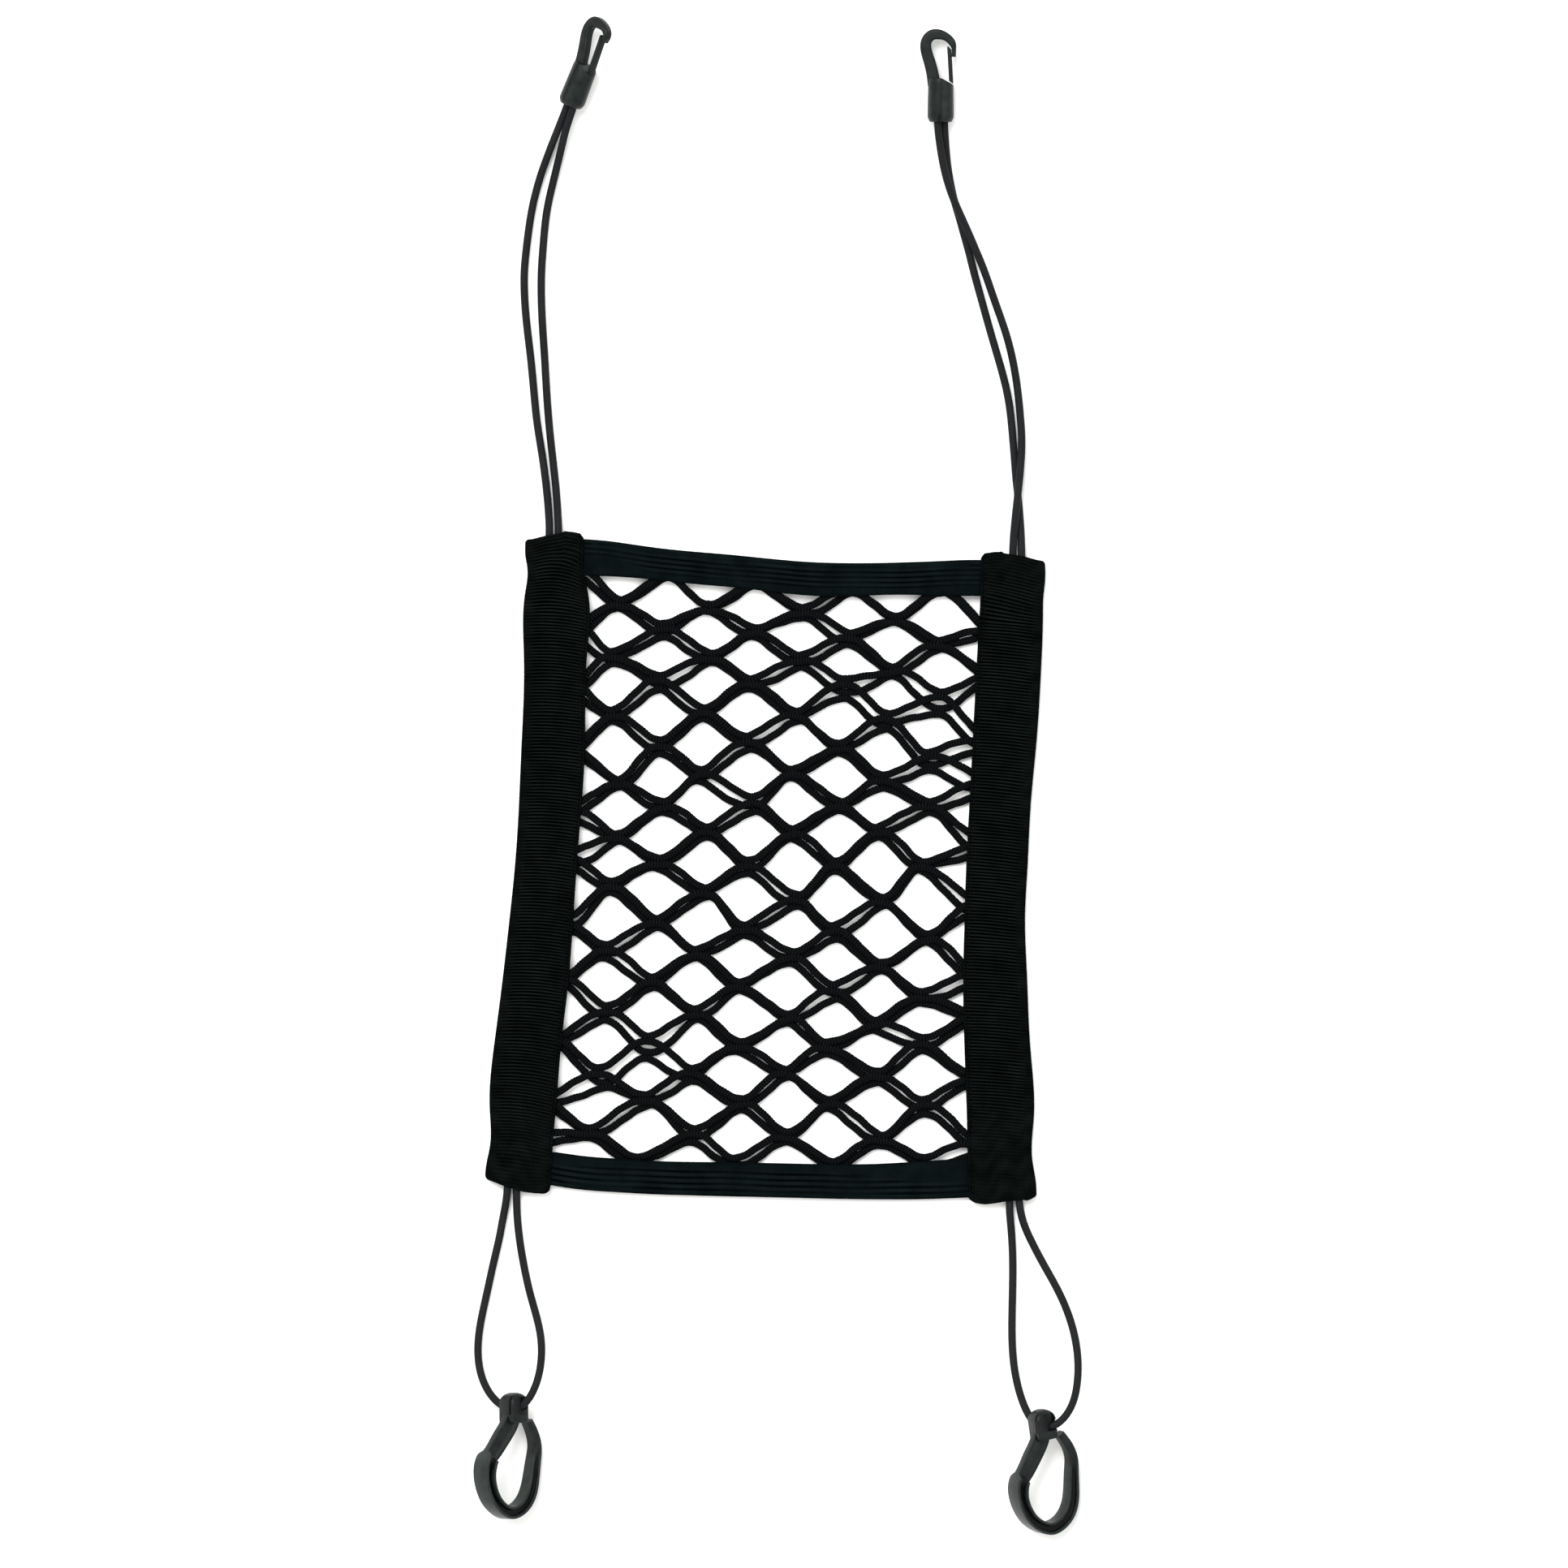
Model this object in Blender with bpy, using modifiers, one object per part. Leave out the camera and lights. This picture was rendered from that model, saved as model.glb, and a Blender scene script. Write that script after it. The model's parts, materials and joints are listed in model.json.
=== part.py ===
"""Pet car barrier net: an elastic net panel with four elastic cord ends and their plastic hooks.

The panel lies flat on z = 0, as if spread on a table. +X is to the right, +Y runs up the panel.
Two layers of open elastic net are sewn into folded bands: a binding along the top and the bottom,
and a wide sleeve along each side. Round elastic cords leave the ends of the sleeves. The upper
ones end in snap hooks with a sprung gate, and the lower ones loop through the eyes of open hooks.
"""

import math

import bmesh
import bpy
import numpy as np
from mathutils import Matrix, Vector

MM = 0.001

# ---- driving sizes, in millimetres -------------------------------------------------------

TAPE_THICK = 0.9               # one layer of the sleeve and binding elastic
STACK_HEIGHT = 5.4             # folded band: layer, room for the net or a cord, layer
BINDING_END_HEIGHT = 3.0       # a binding is pressed thin where a sleeve wraps over its end
BINDING_END_RISE = 1.2         # underside of that thin end above the table
BINDING_PRESS_LENGTH = 7.0     # over this length the binding swells to its full height

NET_THICK = 1.35
NET_BACK_Z = 1.2               # undersides of the two net layers
NET_FRONT_Z = 2.85
NET_LAYER_SHIFT = (0.7, -0.5)  # the front layer lies this far right and down, the back layer opposite
STRAND_WIDTH = 2.9
KNOT_HALF_WIDTH = 3.3
KNOT_HALF_HEIGHT = 2.4
NET_ROWS = 10                  # knots in a short column, a long column has one more
NET_BOW = 0.9                  # a strand bows this far off the straight line between its knots

CORD_DIAMETER = 3.0
CORD_POINT_SPACING = 7.0
EYE_BORE_DIAMETER = 4.2

BARREL_RADIUS = 5.6            # snap hook
BARREL_TOP_RADIUS = 5.35
BARREL_EDGE = 0.4              # small chamfer round the barrel's top
BARREL_WALL = 0.5              # wall left at the mouth of the barrel
BARREL_STEPS = 20
BARREL_LENGTH = 18.3
BARREL_CHAMFER = 2.0
BARREL_HOLLOW_RADIUS = 4.1
BARREL_HOLLOW_DEPTH = 11.0
SHOULDER_SLOPE = 28.0          # degrees: the barrel's top falls away under the gate
SHOULDER_START = 0.4           # the slope starts this far across from the barrel's axis
SHOULDER_CUTTER = (12.0, 6.0, 14.0)
SNAP_CHAMFER = 0.7
SNAP_STATIONS = 22
GATE_LENGTH = 13.6
GATE_WIDTH = 1.7
GATE_DEPTH = 3.0
GATE_ROOT = (4.35, 16.5)       # hinge line of the gate, across and along the snap hook
GATE_LEAN = 3.5                # degrees, towards the inside of the hook
GATE_GAP = 0.3                 # the gate's foot stands this far off the shoulder
GATE_TIP_CUT = (0.4, 0.5)      # corners cut off the gate's tip, across and along

HOOK_RIM = 1.1                 # open hook
HOOK_RIM_SLOPE = 0.3
HOOK_RIM_SHARE = 0.45          # a rim is at most this share of the bar's half width
HOOK_WEB = 3.0
HOOK_STATIONS = 46
EYE_BLOCK = (9.0, 12.6, 9.2)   # across, along, thick
EYE_DROP = 0.4                 # the block's middle is this far below the middle of the eye
EYE_ROUNDING = 4.2
BORE_REACH = 16.0              # the bore follows the cord this far from the middle of the eye

# ---- short tables, in millimetres -----------------------------------------------------------

# A sleeve, from its top end to its bottom end: outer fold and inner open edge.
SLEEVE_LEFT = (
    # outer_x, outer_y, inner_x, inner_y
    (-100.5, 138.6, -74.4, 140.8),
    (-99.6, 126.0, -73.9, 127.0),
    (-100.8, 117.0, -73.6, 117.0),
    (-101.0, 88.0, -74.6, 88.0),
    (-102.0, 52.0, -75.3, 52.0),
    (-104.3, 7.0, -78.3, 7.0),
    (-107.7, -27.0, -80.6, -27.0),
    (-110.5, -51.0, -82.6, -51.0),
    (-113.5, -74.0, -85.3, -74.0),
    (-115.7, -100.0, -87.4, -100.0),
    (-115.4, -116.0, -88.8, -116.0),
    (-116.9, -124.0, -89.4, -127.0),
    (-117.2, -129.4, -90.2, -135.6),
)
SLEEVE_RIGHT = (
    # outer_x, outer_y, inner_x, inner_y
    (117.4, 128.6, 91.2, 131.9),
    (117.2, 121.0, 91.0, 124.0),
    (116.9, 112.0, 90.6, 112.0),
    (116.2, 85.0, 89.0, 85.0),
    (114.1, 52.0, 87.3, 52.0),
    (111.8, 27.0, 86.0, 27.0),
    (110.4, 0.0, 84.6, 0.0),
    (109.4, -20.0, 84.0, -20.0),
    (110.2, -45.0, 83.4, -45.0),
    (111.6, -75.0, 83.9, -75.0),
    (112.9, -102.0, 84.9, -102.0),
    (111.9, -121.0, 85.3, -122.0),
    (113.8, -131.0, 85.5, -133.0),
    (114.0, -137.9, 85.7, -140.0),
)

# A binding, from left to right: its folded outer edge and its open edge towards the net.
BINDING_TOP = (
    # x, fold_y, open_y
    (-83.5, 138.4, 123.0),
    (-75.0, 138.2, 122.8),
    (-62.0, 137.0, 122.4),
    (-48.0, 135.0, 121.3),
    (-28.0, 132.9, 119.2),
    (-8.0, 131.1, 117.4),
    (13.0, 129.1, 114.9),
    (33.0, 128.2, 114.2),
    (54.0, 128.4, 114.8),
    (74.0, 129.1, 114.5),
    (90.0, 129.5, 114.3),
    (100.0, 129.0, 114.2),
)
BINDING_BOTTOM = (
    # x, fold_y, open_y
    (-99.0, -131.2, -118.4),
    (-89.0, -133.2, -119.0),
    (-76.0, -135.0, -120.7),
    (-62.0, -136.0, -121.8),
    (-48.0, -136.8, -122.7),
    (-20.0, -137.6, -123.3),
    (13.0, -138.4, -123.9),
    (47.0, -139.0, -124.0),
    (68.0, -138.9, -122.8),
    (86.0, -138.2, -121.8),
    (97.0, -137.8, -121.6),
)

# Knots of the net, column by column from the left sleeve to the right one and from the top down.
# The first and the last column lie inside the sleeves.
NET_COLUMNS = {
    "left": (
        (-78.0, -79.0, -79.6, -79.8, -80.8, -81.6, -82.4, -84.4, -87.4, -91.0, -92.6),
        (119.0, 99.1, 75.7, 49.6, 23.4, 3.6, -23.7, -47.0, -71.9, -98.3, -114.9),
    ),
    "a": (
        (-60.6, -65.1, -63.7, -60.6, -62.3, -64.1, -66.1, -67.1, -67.5, -73.6),
        (111.0, 88.5, 64.0, 35.7, 12.9, -7.6, -34.8, -60.7, -87.6, -111.1),
    ),
    "b": (
        (-41.0, -42.6, -43.6, -43.9, -42.6, -45.0, -45.3, -47.0, -48.7, -48.7, -52.8),
        (123.2, 99.8, 78.0, 51.0, 25.8, 2.3, -22.9, -47.8, -73.0, -97.2, -123.0),
    ),
    "c": (
        (-23.5, -23.2, -25.6, -27.3, -24.2, -23.8, -28.3, -29.0, -30.7, -29.3),
        (109.3, 88.2, 65.0, 39.1, 15.3, -9.9, -35.8, -61.4, -86.6, -112.2),
    ),
    "d": (
        (-4.0, -4.8, -5.5, -6.8, -4.8, -7.2, -8.5, -10.6, -11.2, -9.5, -12.3),
        (119.6, 99.1, 77.6, 52.7, 26.9, 0.6, -26.0, -49.5, -74.7, -99.2, -124.4),
    ),
    "e": (
        (16.4, 14.3, 14.3, 11.6, 11.6, 14.3, 10.9, 9.9, 9.9, 9.2),
        (107.3, 86.8, 64.0, 39.8, 14.6, -13.7, -37.5, -63.1, -85.9, -112.8),
    ),
    "f": (
        (36.0, 35.4, 33.0, 31.0, 31.3, 29.6, 29.6, 29.6, 25.6, 26.9, 28.6),
        (117.1, 96.4, 76.9, 50.4, 26.2, 1.0, -27.0, -51.8, -75.4, -98.9, -124.8),
    ),
    "g": (
        (54.2, 53.8, 52.1, 49.7, 47.4, 50.8, 48.4, 46.3, 48.7, 48.0),
        (104.5, 84.1, 61.6, 36.4, 15.3, -14.0, -41.3, -65.8, -87.6, -113.9),
    ),
    "h": (
        (74.0, 73.6, 75.0, 68.5, 69.2, 65.4, 68.5, 65.8, 65.8, 66.8, 67.8),
        (117.1, 94.0, 72.8, 47.0, 25.8, 1.0, -29.4, -54.2, -74.0, -99.9, -123.9),
    ),
    "right": (
        (94.6, 94.0, 92.4, 91.4, 90.2, 88.6, 87.8, 88.2, 88.6, 89.2),
        (100.4, 81.0, 52.5, 34.4, 9.2, -16.3, -45.8, -62.2, -88.4, -116.2),
    ),
}

# The cords. Each row is a point on the centreline: x, y, z.
CORD_UPPER_LEFT_A = (
    (-90.6, 128.0, 2.7), (-90.5, 136.0, 2.7), (-90.3, 141.6, 2.7), (-90.5, 147.5, 2.2),
    (-91.6, 160.1, 1.6), (-93.4, 173.8, 1.5), (-95.5, 187.4, 1.5), (-96.9, 201.0, 1.5),
    (-98.2, 214.6, 1.5), (-99.8, 228.3, 1.5), (-100.8, 241.9, 1.5), (-100.8, 250.4, 1.5),
    (-99.7, 262.3, 1.5), (-97.7, 276.0, 1.5), (-94.3, 289.6, 1.8), (-89.4, 303.2, 3.0),
    (-86.5, 310.5, 3.7), (-82.6, 320.6, 4.7), (-80.2, 328.0, 6.3),
)
CORD_UPPER_LEFT_B = (
    (-86.6, 128.0, 2.7), (-86.6, 136.0, 2.7), (-86.5, 141.6, 2.7), (-86.7, 147.5, 2.2),
    (-87.6, 160.1, 1.6), (-89.1, 173.8, 1.5), (-90.5, 187.4, 1.5), (-91.5, 201.0, 1.5),
    (-92.3, 214.6, 1.5), (-93.2, 228.3, 1.5), (-93.7, 241.9, 1.5), (-93.6, 250.4, 1.5),
    (-92.8, 262.3, 1.5), (-91.3, 276.0, 1.6), (-88.3, 289.6, 2.3), (-85.0, 303.2, 4.2),
    (-83.4, 309.6, 5.4), (-80.2, 319.4, 6.6), (-77.8, 326.8, 8.2),
)
CORD_UPPER_RIGHT_A = (
    (104.1, 118.0, 2.7), (104.1, 126.0, 2.7), (104.2, 131.0, 2.7), (104.5, 138.5, 3.5),
    (105.1, 145.5, 4.6), (106.1, 155.0, 5.1), (107.0, 163.5, 4.9), (107.7, 172.1, 4.0),
    (107.9, 180.6, 2.6), (107.4, 189.1, 1.7), (106.6, 197.6, 1.5), (104.6, 211.2, 1.5),
    (101.2, 224.9, 1.5), (96.5, 238.5, 1.7), (91.7, 252.1, 2.6), (88.9, 258.9, 3.6),
    (86.0, 265.7, 4.5), (82.9, 272.6, 5.1), (79.9, 279.4, 5.4), (77.4, 286.2, 5.8),
    (75.5, 293.0, 6.4), (74.2, 299.8, 6.9), (73.2, 306.6, 6.9), (72.7, 313.0, 6.6),
    (72.7, 321.0, 6.5),
)
CORD_UPPER_RIGHT_B = (
    (108.0, 118.0, 2.7), (108.0, 126.0, 2.7), (107.9, 131.0, 2.7), (107.7, 138.5, 2.1),
    (107.3, 145.5, 1.6), (106.5, 155.0, 1.5), (105.6, 163.5, 1.5), (104.9, 172.1, 1.5),
    (104.2, 180.6, 1.5), (103.4, 189.1, 1.5), (102.2, 197.6, 1.5), (98.9, 211.2, 1.5),
    (94.9, 224.9, 1.5), (91.1, 238.5, 1.5), (87.4, 252.1, 1.5), (85.7, 258.9, 1.5),
    (83.8, 265.7, 1.5), (81.9, 272.6, 1.5), (79.9, 279.4, 1.7), (78.3, 286.2, 2.1),
    (77.1, 293.0, 2.6), (76.3, 299.8, 3.3), (75.8, 306.6, 4.1), (75.5, 313.0, 4.6),
    (75.5, 321.0, 4.7),
)
CORD_LOWER_LEFT = (
    (-108.0, -121.0, 2.7), (-107.9, -128.0, 2.7), (-107.9, -134.0, 2.7), (-108.6, -140.5, 2.2),
    (-109.8, -147.0, 1.7), (-111.4, -155.5, 1.5), (-113.6, -165.0, 1.5), (-115.8, -175.0, 1.5),
    (-118.0, -185.0, 1.5), (-119.8, -195.0, 1.8), (-120.2, -204.4, 2.6), (-118.6, -213.4, 4.0),
    (-115.0, -220.6, 5.8), (-110.2, -225.2, 8.0), (-105.2, -226.8, 10.8), (-100.6, -224.4, 12.8),
    (-97.1, -219.4, 12.6), (-94.7, -212.6, 10.4), (-93.6, -204.6, 7.2), (-94.0, -196.0, 4.2),
    (-96.0, -187.0, 2.3), (-98.6, -177.6, 1.6), (-101.0, -166.6, 1.5), (-102.7, -156.4, 1.5),
    (-103.7, -147.0, 1.7), (-104.0, -140.5, 2.2), (-104.1, -134.0, 2.7), (-104.1, -128.0, 2.7),
    (-104.1, -121.0, 2.7),
)
CORD_LOWER_RIGHT = (
    (103.0, -126.0, 2.7), (103.0, -132.0, 2.7), (102.9, -139.0, 2.7), (102.9, -144.0, 2.3),
    (103.3, -149.0, 1.7), (103.9, -157.0, 1.5), (104.2, -167.0, 1.5), (104.1, -177.0, 1.5),
    (103.9, -187.4, 1.6), (103.9, -197.6, 2.0), (104.6, -207.8, 3.2), (106.4, -217.6, 5.2),
    (109.2, -226.0, 7.8), (112.8, -231.8, 10.4), (117.1, -234.3, 12.8), (122.0, -233.2, 14.6),
    (126.4, -229.3, 14.4), (129.6, -223.2, 12.2), (131.2, -215.6, 8.8), (131.5, -207.0, 5.6),
    (130.4, -197.6, 3.1), (127.6, -187.4, 1.7), (123.2, -177.2, 1.5), (117.6, -167.0, 1.5),
    (112.3, -157.0, 1.5), (109.0, -149.5, 1.7), (107.5, -144.0, 2.3), (106.9, -139.0, 2.7),
    (106.8, -132.0, 2.7), (106.8, -126.0, 2.7),
)

# The bow of a snap hook, from inside its barrel over the top to the tip of its nose.
SNAP_SPINE = (
    # across, along, width, thick
    (-2.7, 15.5, 5.6, 3.8),
    (-3.5, 20.0, 5.1, 3.8),
    (-4.9, 25.5, 4.9, 3.8),
    (-6.35, 30.6, 4.7, 3.8),
    (-6.1, 34.0, 4.5, 3.8),
    (-3.9, 36.4, 4.5, 3.8),
    (-0.9, 36.7, 4.4, 3.8),
    (1.9, 35.2, 4.2, 3.8),
    (3.9, 32.7, 3.6, 3.8),
    (4.95, 31.5, 2.0, 3.8),
    (5.35, 30.4, 1.3, 3.4),
    (5.35, 27.4, 1.2, 3.4),
)

# An open hook, from its eye down the thin shank, round the thick bend and up to the nose.
HOOK_SPINE = (
    # across, along, width, thick, groove (0 none, 1 full)
    (0.2, 0.0, 7.0, 3.6, 0.0),
    (-2.6, -7.2, 7.4, 3.6, 0.0),
    (-6.8, -12.9, 7.5, 3.6, 0.0),
    (-11.6, -18.3, 7.2, 3.8, 0.0),
    (-12.9, -19.8, 7.0, 9.4, 0.3),
    (-15.1, -23.6, 6.0, 9.5, 1.0),
    (-15.7, -29.5, 4.9, 9.4, 1.0),
    (-14.4, -34.8, 4.8, 9.0, 1.0),
    (-11.8, -39.6, 4.9, 8.5, 1.0),
    (-8.0, -43.1, 5.0, 7.9, 1.0),
    (-3.6, -44.7, 5.0, 7.3, 1.0),
    (1.4, -43.3, 5.0, 6.8, 1.0),
    (5.2, -40.0, 5.0, 6.5, 1.0),
    (7.6, -35.6, 4.8, 6.2, 1.0),
    (9.1, -29.4, 4.3, 5.9, 1.0),
    (10.2, -22.7, 3.9, 5.6, 0.8),
    (10.9, -17.2, 3.4, 5.1, 0.0),
    (10.2, -12.6, 2.9, 4.6, 0.0),
    (7.3, -6.0, 2.4, 3.6, 0.0),
)

# Where each hook lies. Lean is clockwise seen from above; roll lifts the side named below.
SNAP_HOOKS = (
    # side, x, y, lean, pitch (bow up), roll (gate side up), degrees
    ("left", -81.4, 320.3, 21.5, 11.0, 44.0),
    ("right", 73.9, 313.2, 0.4, 0.5, 4.0),
)
OPEN_HOOKS = (
    # side, x, y, lean, pitch (eye up), roll (knee side up), degrees
    ("left", -105.1, -225.8, 0.0, 0.0, 40.0),
    ("right", 116.5, -232.6, -10.0, 8.0, 34.0),
)

COLOURS = {
    # red, green, blue, roughness
    "sleeve": (0.004, 0.005, 0.005, 0.92),
    "binding": (0.006, 0.008, 0.010, 0.85),
    "net": (0.005, 0.006, 0.007, 0.90),
    "cord": (0.020, 0.022, 0.024, 0.60),
    "plastic": (0.020, 0.024, 0.024, 0.40),
}


# ---- scene helpers ------------------------------------------------------------------------------

def clear_scene():
    for obj in list(bpy.data.objects):
        bpy.data.objects.remove(obj, do_unlink=True)


def make_collection(name):
    collection = bpy.data.collections.new(name)
    bpy.context.scene.collection.children.link(collection)
    return collection


def give_material(obj, kind):
    red, green, blue, roughness = COLOURS[kind]
    material = bpy.data.materials.new(obj.name + "_" + kind)
    material.use_nodes = True
    shader = material.node_tree.nodes["Principled BSDF"]
    shader.inputs["Base Color"].default_value = (red, green, blue, 1.0)
    shader.inputs["Roughness"].default_value = roughness
    shader.inputs["Metallic"].default_value = 0.0
    obj.data.materials.append(material)


def add_part(name, data, kind):
    obj = bpy.data.objects.new(name, data)
    PARTS.objects.link(obj)
    give_material(obj, kind)
    return obj


def add_cutter(name, data):
    obj = bpy.data.objects.new(name, data)
    CUTTERS.objects.link(obj)
    obj.hide_render = True
    obj.display_type = "WIRE"
    return obj


def mesh_from(name, vertices, faces):
    mesh = bpy.data.meshes.new(name)
    mesh.from_pydata([tuple(v) for v in vertices], [], faces)
    mesh.update()
    return mesh


def add_boolean(obj, other, operation):
    modifier = obj.modifiers.new(operation.title(), "BOOLEAN")
    modifier.operation = operation
    modifier.solver = "EXACT"
    modifier.object = other


def shade(mesh, degrees):
    mesh.shade_smooth()
    mesh.set_sharp_from_angle(angle=math.radians(degrees))


def mesh_of(obj):
    """The object's evaluated shape as a mesh with its caps welded."""
    graph = bpy.context.evaluated_depsgraph_get()
    mesh = bpy.data.meshes.new_from_object(obj.evaluated_get(graph))
    work = bmesh.new()
    work.from_mesh(mesh)
    bmesh.ops.remove_doubles(work, verts=work.verts, dist=0.01 * MM)
    bmesh.ops.recalc_face_normals(work, faces=work.faces)
    work.to_mesh(mesh)
    work.free()
    return mesh


# ---- curves --------------------------------------------------------------------------------------

def spline_through(points, count):
    """Count points, evenly spaced, on the natural cubic spline through the given points."""
    points = np.array(points, dtype=float)
    chord = np.linalg.norm(np.diff(points[:, :2], axis=0), axis=1)
    at = np.concatenate(([0.0], np.cumsum(chord)))
    size = len(points)
    system = np.eye(size)
    right = np.zeros_like(points)
    for i in range(1, size - 1):
        system[i, i - 1:i + 2] = chord[i - 1], 2.0 * (chord[i - 1] + chord[i]), chord[i]
        step_after = (points[i + 1] - points[i]) / chord[i]
        step_before = (points[i] - points[i - 1]) / chord[i - 1]
        right[i] = 6.0 * (step_after - step_before)
    bend = np.linalg.solve(system, right)

    def value(where):
        i = np.clip(np.searchsorted(at, where) - 1, 0, size - 2)
        width = chord[i][:, None]
        before = (at[i + 1] - where)[:, None]
        after = (where - at[i])[:, None]
        cubic = (bend[i] * before ** 3 + bend[i + 1] * after ** 3) / (6.0 * width)
        line = (points[i] / width - bend[i] * width / 6.0) * before
        return cubic + line + (points[i + 1] / width - bend[i + 1] * width / 6.0) * after

    fine = value(np.linspace(0.0, at[-1], 60 * size))
    run = np.concatenate(([0.0], np.cumsum(np.linalg.norm(np.diff(fine, axis=0), axis=1))))
    wanted = np.linspace(0.0, run[-1], count)
    return np.stack([np.interp(wanted, run, fine[:, k]) for k in range(points.shape[1])], axis=1)


def cord_points(route):
    """Evenly spaced points along a cord, none of them lower than a cord lying on the table."""
    rough = np.linalg.norm(np.diff(np.array(route), axis=0), axis=1).sum()
    points = spline_through(route, round(rough / CORD_POINT_SPACING) + 1)
    points[:, 2] = np.maximum(points[:, 2], CORD_DIAMETER / 2.0)
    return points


def tube_curve(name, points, diameter):
    curve = bpy.data.curves.new(name, "CURVE")
    curve.dimensions = "3D"
    curve.bevel_depth = diameter / 2.0 * MM
    curve.bevel_resolution = 2
    curve.use_fill_caps = True
    spline = curve.splines.new("POLY")
    spline.points.add(len(points) - 1)
    for target, point in zip(spline.points, points):
        target.co = (*(point * MM), 1.0)
    return curve


def make_cord(name, route):
    return add_part(name, tube_curve(name, cord_points(route), CORD_DIAMETER), "cord")


# ---- folded bands --------------------------------------------------------------------------------

def fold_section(height):
    """Middle line of a folded tape: (distance from the fold's outside as a share, z).

    The first number counts the flat part from 0 at the fold to 1 at the open edge. Negative
    numbers are in the round of the fold, as a share of its radius.
    """
    radius = (height - TAPE_THICK) / 2.0
    centre = height / 2.0
    flat = [(1.0, -radius), (0.5, -radius), (0.0, -radius)]
    turn = [(-math.cos(a), math.sin(a) * radius) for a in (-math.pi / 4.0, 0.0, math.pi / 4.0)]
    section = flat + turn + [(share, radius) for share, _ in reversed(flat)]
    return [(share, centre + z) for share, z in section], radius


def make_folded_band(name, kind, stations):
    """A tape folded lengthwise. A station is (fold x, fold y, open x, open y, height, rise)."""
    vertices = []
    for fold_x, fold_y, open_x, open_y, height, rise in stations:
        fold = Vector((fold_x, fold_y))
        across = Vector((open_x, open_y)) - fold
        direction = across.normalized()
        section, radius = fold_section(height)
        shoulder = radius + TAPE_THICK / 2.0
        for share, z in section:
            if share >= 0.0:
                distance = shoulder + share * (across.length - shoulder)
            else:
                distance = shoulder + share * radius
            place = fold + direction * distance
            vertices.append((place.x * MM, place.y * MM, (z + rise) * MM))
    columns = len(vertices) // len(stations)
    faces = []
    for row in range(len(stations) - 1):
        for column in range(columns - 1):
            corner = row * columns + column
            faces.append((corner, corner + 1, corner + columns + 1, corner + columns))
    band = add_part(name, mesh_from(name, vertices, faces), kind)
    solidify = band.modifiers.new("Thickness", "SOLIDIFY")
    solidify.thickness = TAPE_THICK * MM
    solidify.offset = 0.0
    shade(band.data, 60.0)
    return band


def sleeve_stations(table):
    return [row + (STACK_HEIGHT, 0.0) for row in table]


def open_edge_x(table, y):
    """Where the open edge of a sleeve is at height y."""
    heights = [row[3] for row in reversed(table)]
    places = [row[2] for row in reversed(table)]
    return float(np.interp(y, heights, places))


def binding_stations(table, left_edge, right_edge):
    """The binding is thin inside the sleeves and swells to full height between them."""
    stations = []
    places = [row[0] for row in table] + [left_edge + 1.0, right_edge - 1.0]
    places += [left_edge + 1.0 + BINDING_PRESS_LENGTH, right_edge - 1.0 - BINDING_PRESS_LENGTH]
    xs, folds, opens = (np.array(column) for column in zip(*table))
    for x in sorted(places):
        inside = min(x - left_edge - 1.0, right_edge - 1.0 - x) / BINDING_PRESS_LENGTH
        share = min(max(inside, 0.0), 1.0)
        height = BINDING_END_HEIGHT + share * (STACK_HEIGHT - BINDING_END_HEIGHT)
        rise = BINDING_END_RISE * (1.0 - share)
        fold_y = float(np.interp(x, xs, folds))
        open_y = float(np.interp(x, xs, opens))
        stations.append((x, fold_y, x, open_y, height, rise))
    return stations


# ---- the net --------------------------------------------------------------------------------------

def make_net(name, underside, shift):
    """One net layer: a four-cornered knot at each crossing and a bowed strand between knots."""
    vertices = []
    faces = []

    def add(x, y):
        vertices.append((x * MM, y * MM, underside * MM))
        return len(vertices) - 1

    corners = []
    for across, heights in NET_COLUMNS.values():
        rows = []
        for x, y in zip(across, heights):
            x += shift[0]
            y += shift[1]
            knot = {
                "top": add(x, y + KNOT_HALF_HEIGHT),
                "left": add(x - KNOT_HALF_WIDTH, y),
                "bottom": add(x, y - KNOT_HALF_HEIGHT),
                "right": add(x + KNOT_HALF_WIDTH, y),
            }
            faces.append((knot["top"], knot["left"], knot["bottom"], knot["right"]))
            rows.append(knot)
        corners.append(rows)

    def add_strand(upper_start, upper_end, lower_start, lower_end, bow):
        ends = [Vector(vertices[i]) for i in (upper_start, upper_end, lower_start, lower_end)]
        middle = sum(ends, Vector()) / 4.0
        along = ((ends[1] + ends[3]) - (ends[0] + ends[2])).normalized()
        normal = Vector((-along.y, along.x, 0.0))
        middle += normal * bow * MM
        upper = middle + normal * STRAND_WIDTH / 2.0 * MM
        lower = middle - normal * STRAND_WIDTH / 2.0 * MM
        upper_index = add(upper.x / MM, upper.y / MM)
        lower_index = add(lower.x / MM, lower.y / MM)
        faces.append((upper_start, lower_start, lower_index, upper_index))
        faces.append((upper_index, lower_index, lower_end, upper_end))

    for left, right in zip(corners, corners[1:]):
        # a short column's knot i sits between knots i and i + 1 of the long columns beside it
        low_left, low_right = (1, 0) if len(left) > len(right) else (0, 1)
        for i in range(NET_ROWS):
            start = left[i + low_left]
            end = right[i]
            add_strand(start["top"], end["left"], start["right"], end["bottom"], NET_BOW)
            start = left[i]
            end = right[i + low_right]
            add_strand(start["right"], end["top"], start["bottom"], end["left"], -NET_BOW)

    net = add_part(name, mesh_from(name, vertices, faces), "net")
    solidify = net.modifiers.new("Thickness", "SOLIDIFY")
    solidify.thickness = NET_THICK * MM
    solidify.offset = 1.0
    return net


# ---- the hooks -----------------------------------------------------------------------------------

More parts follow.
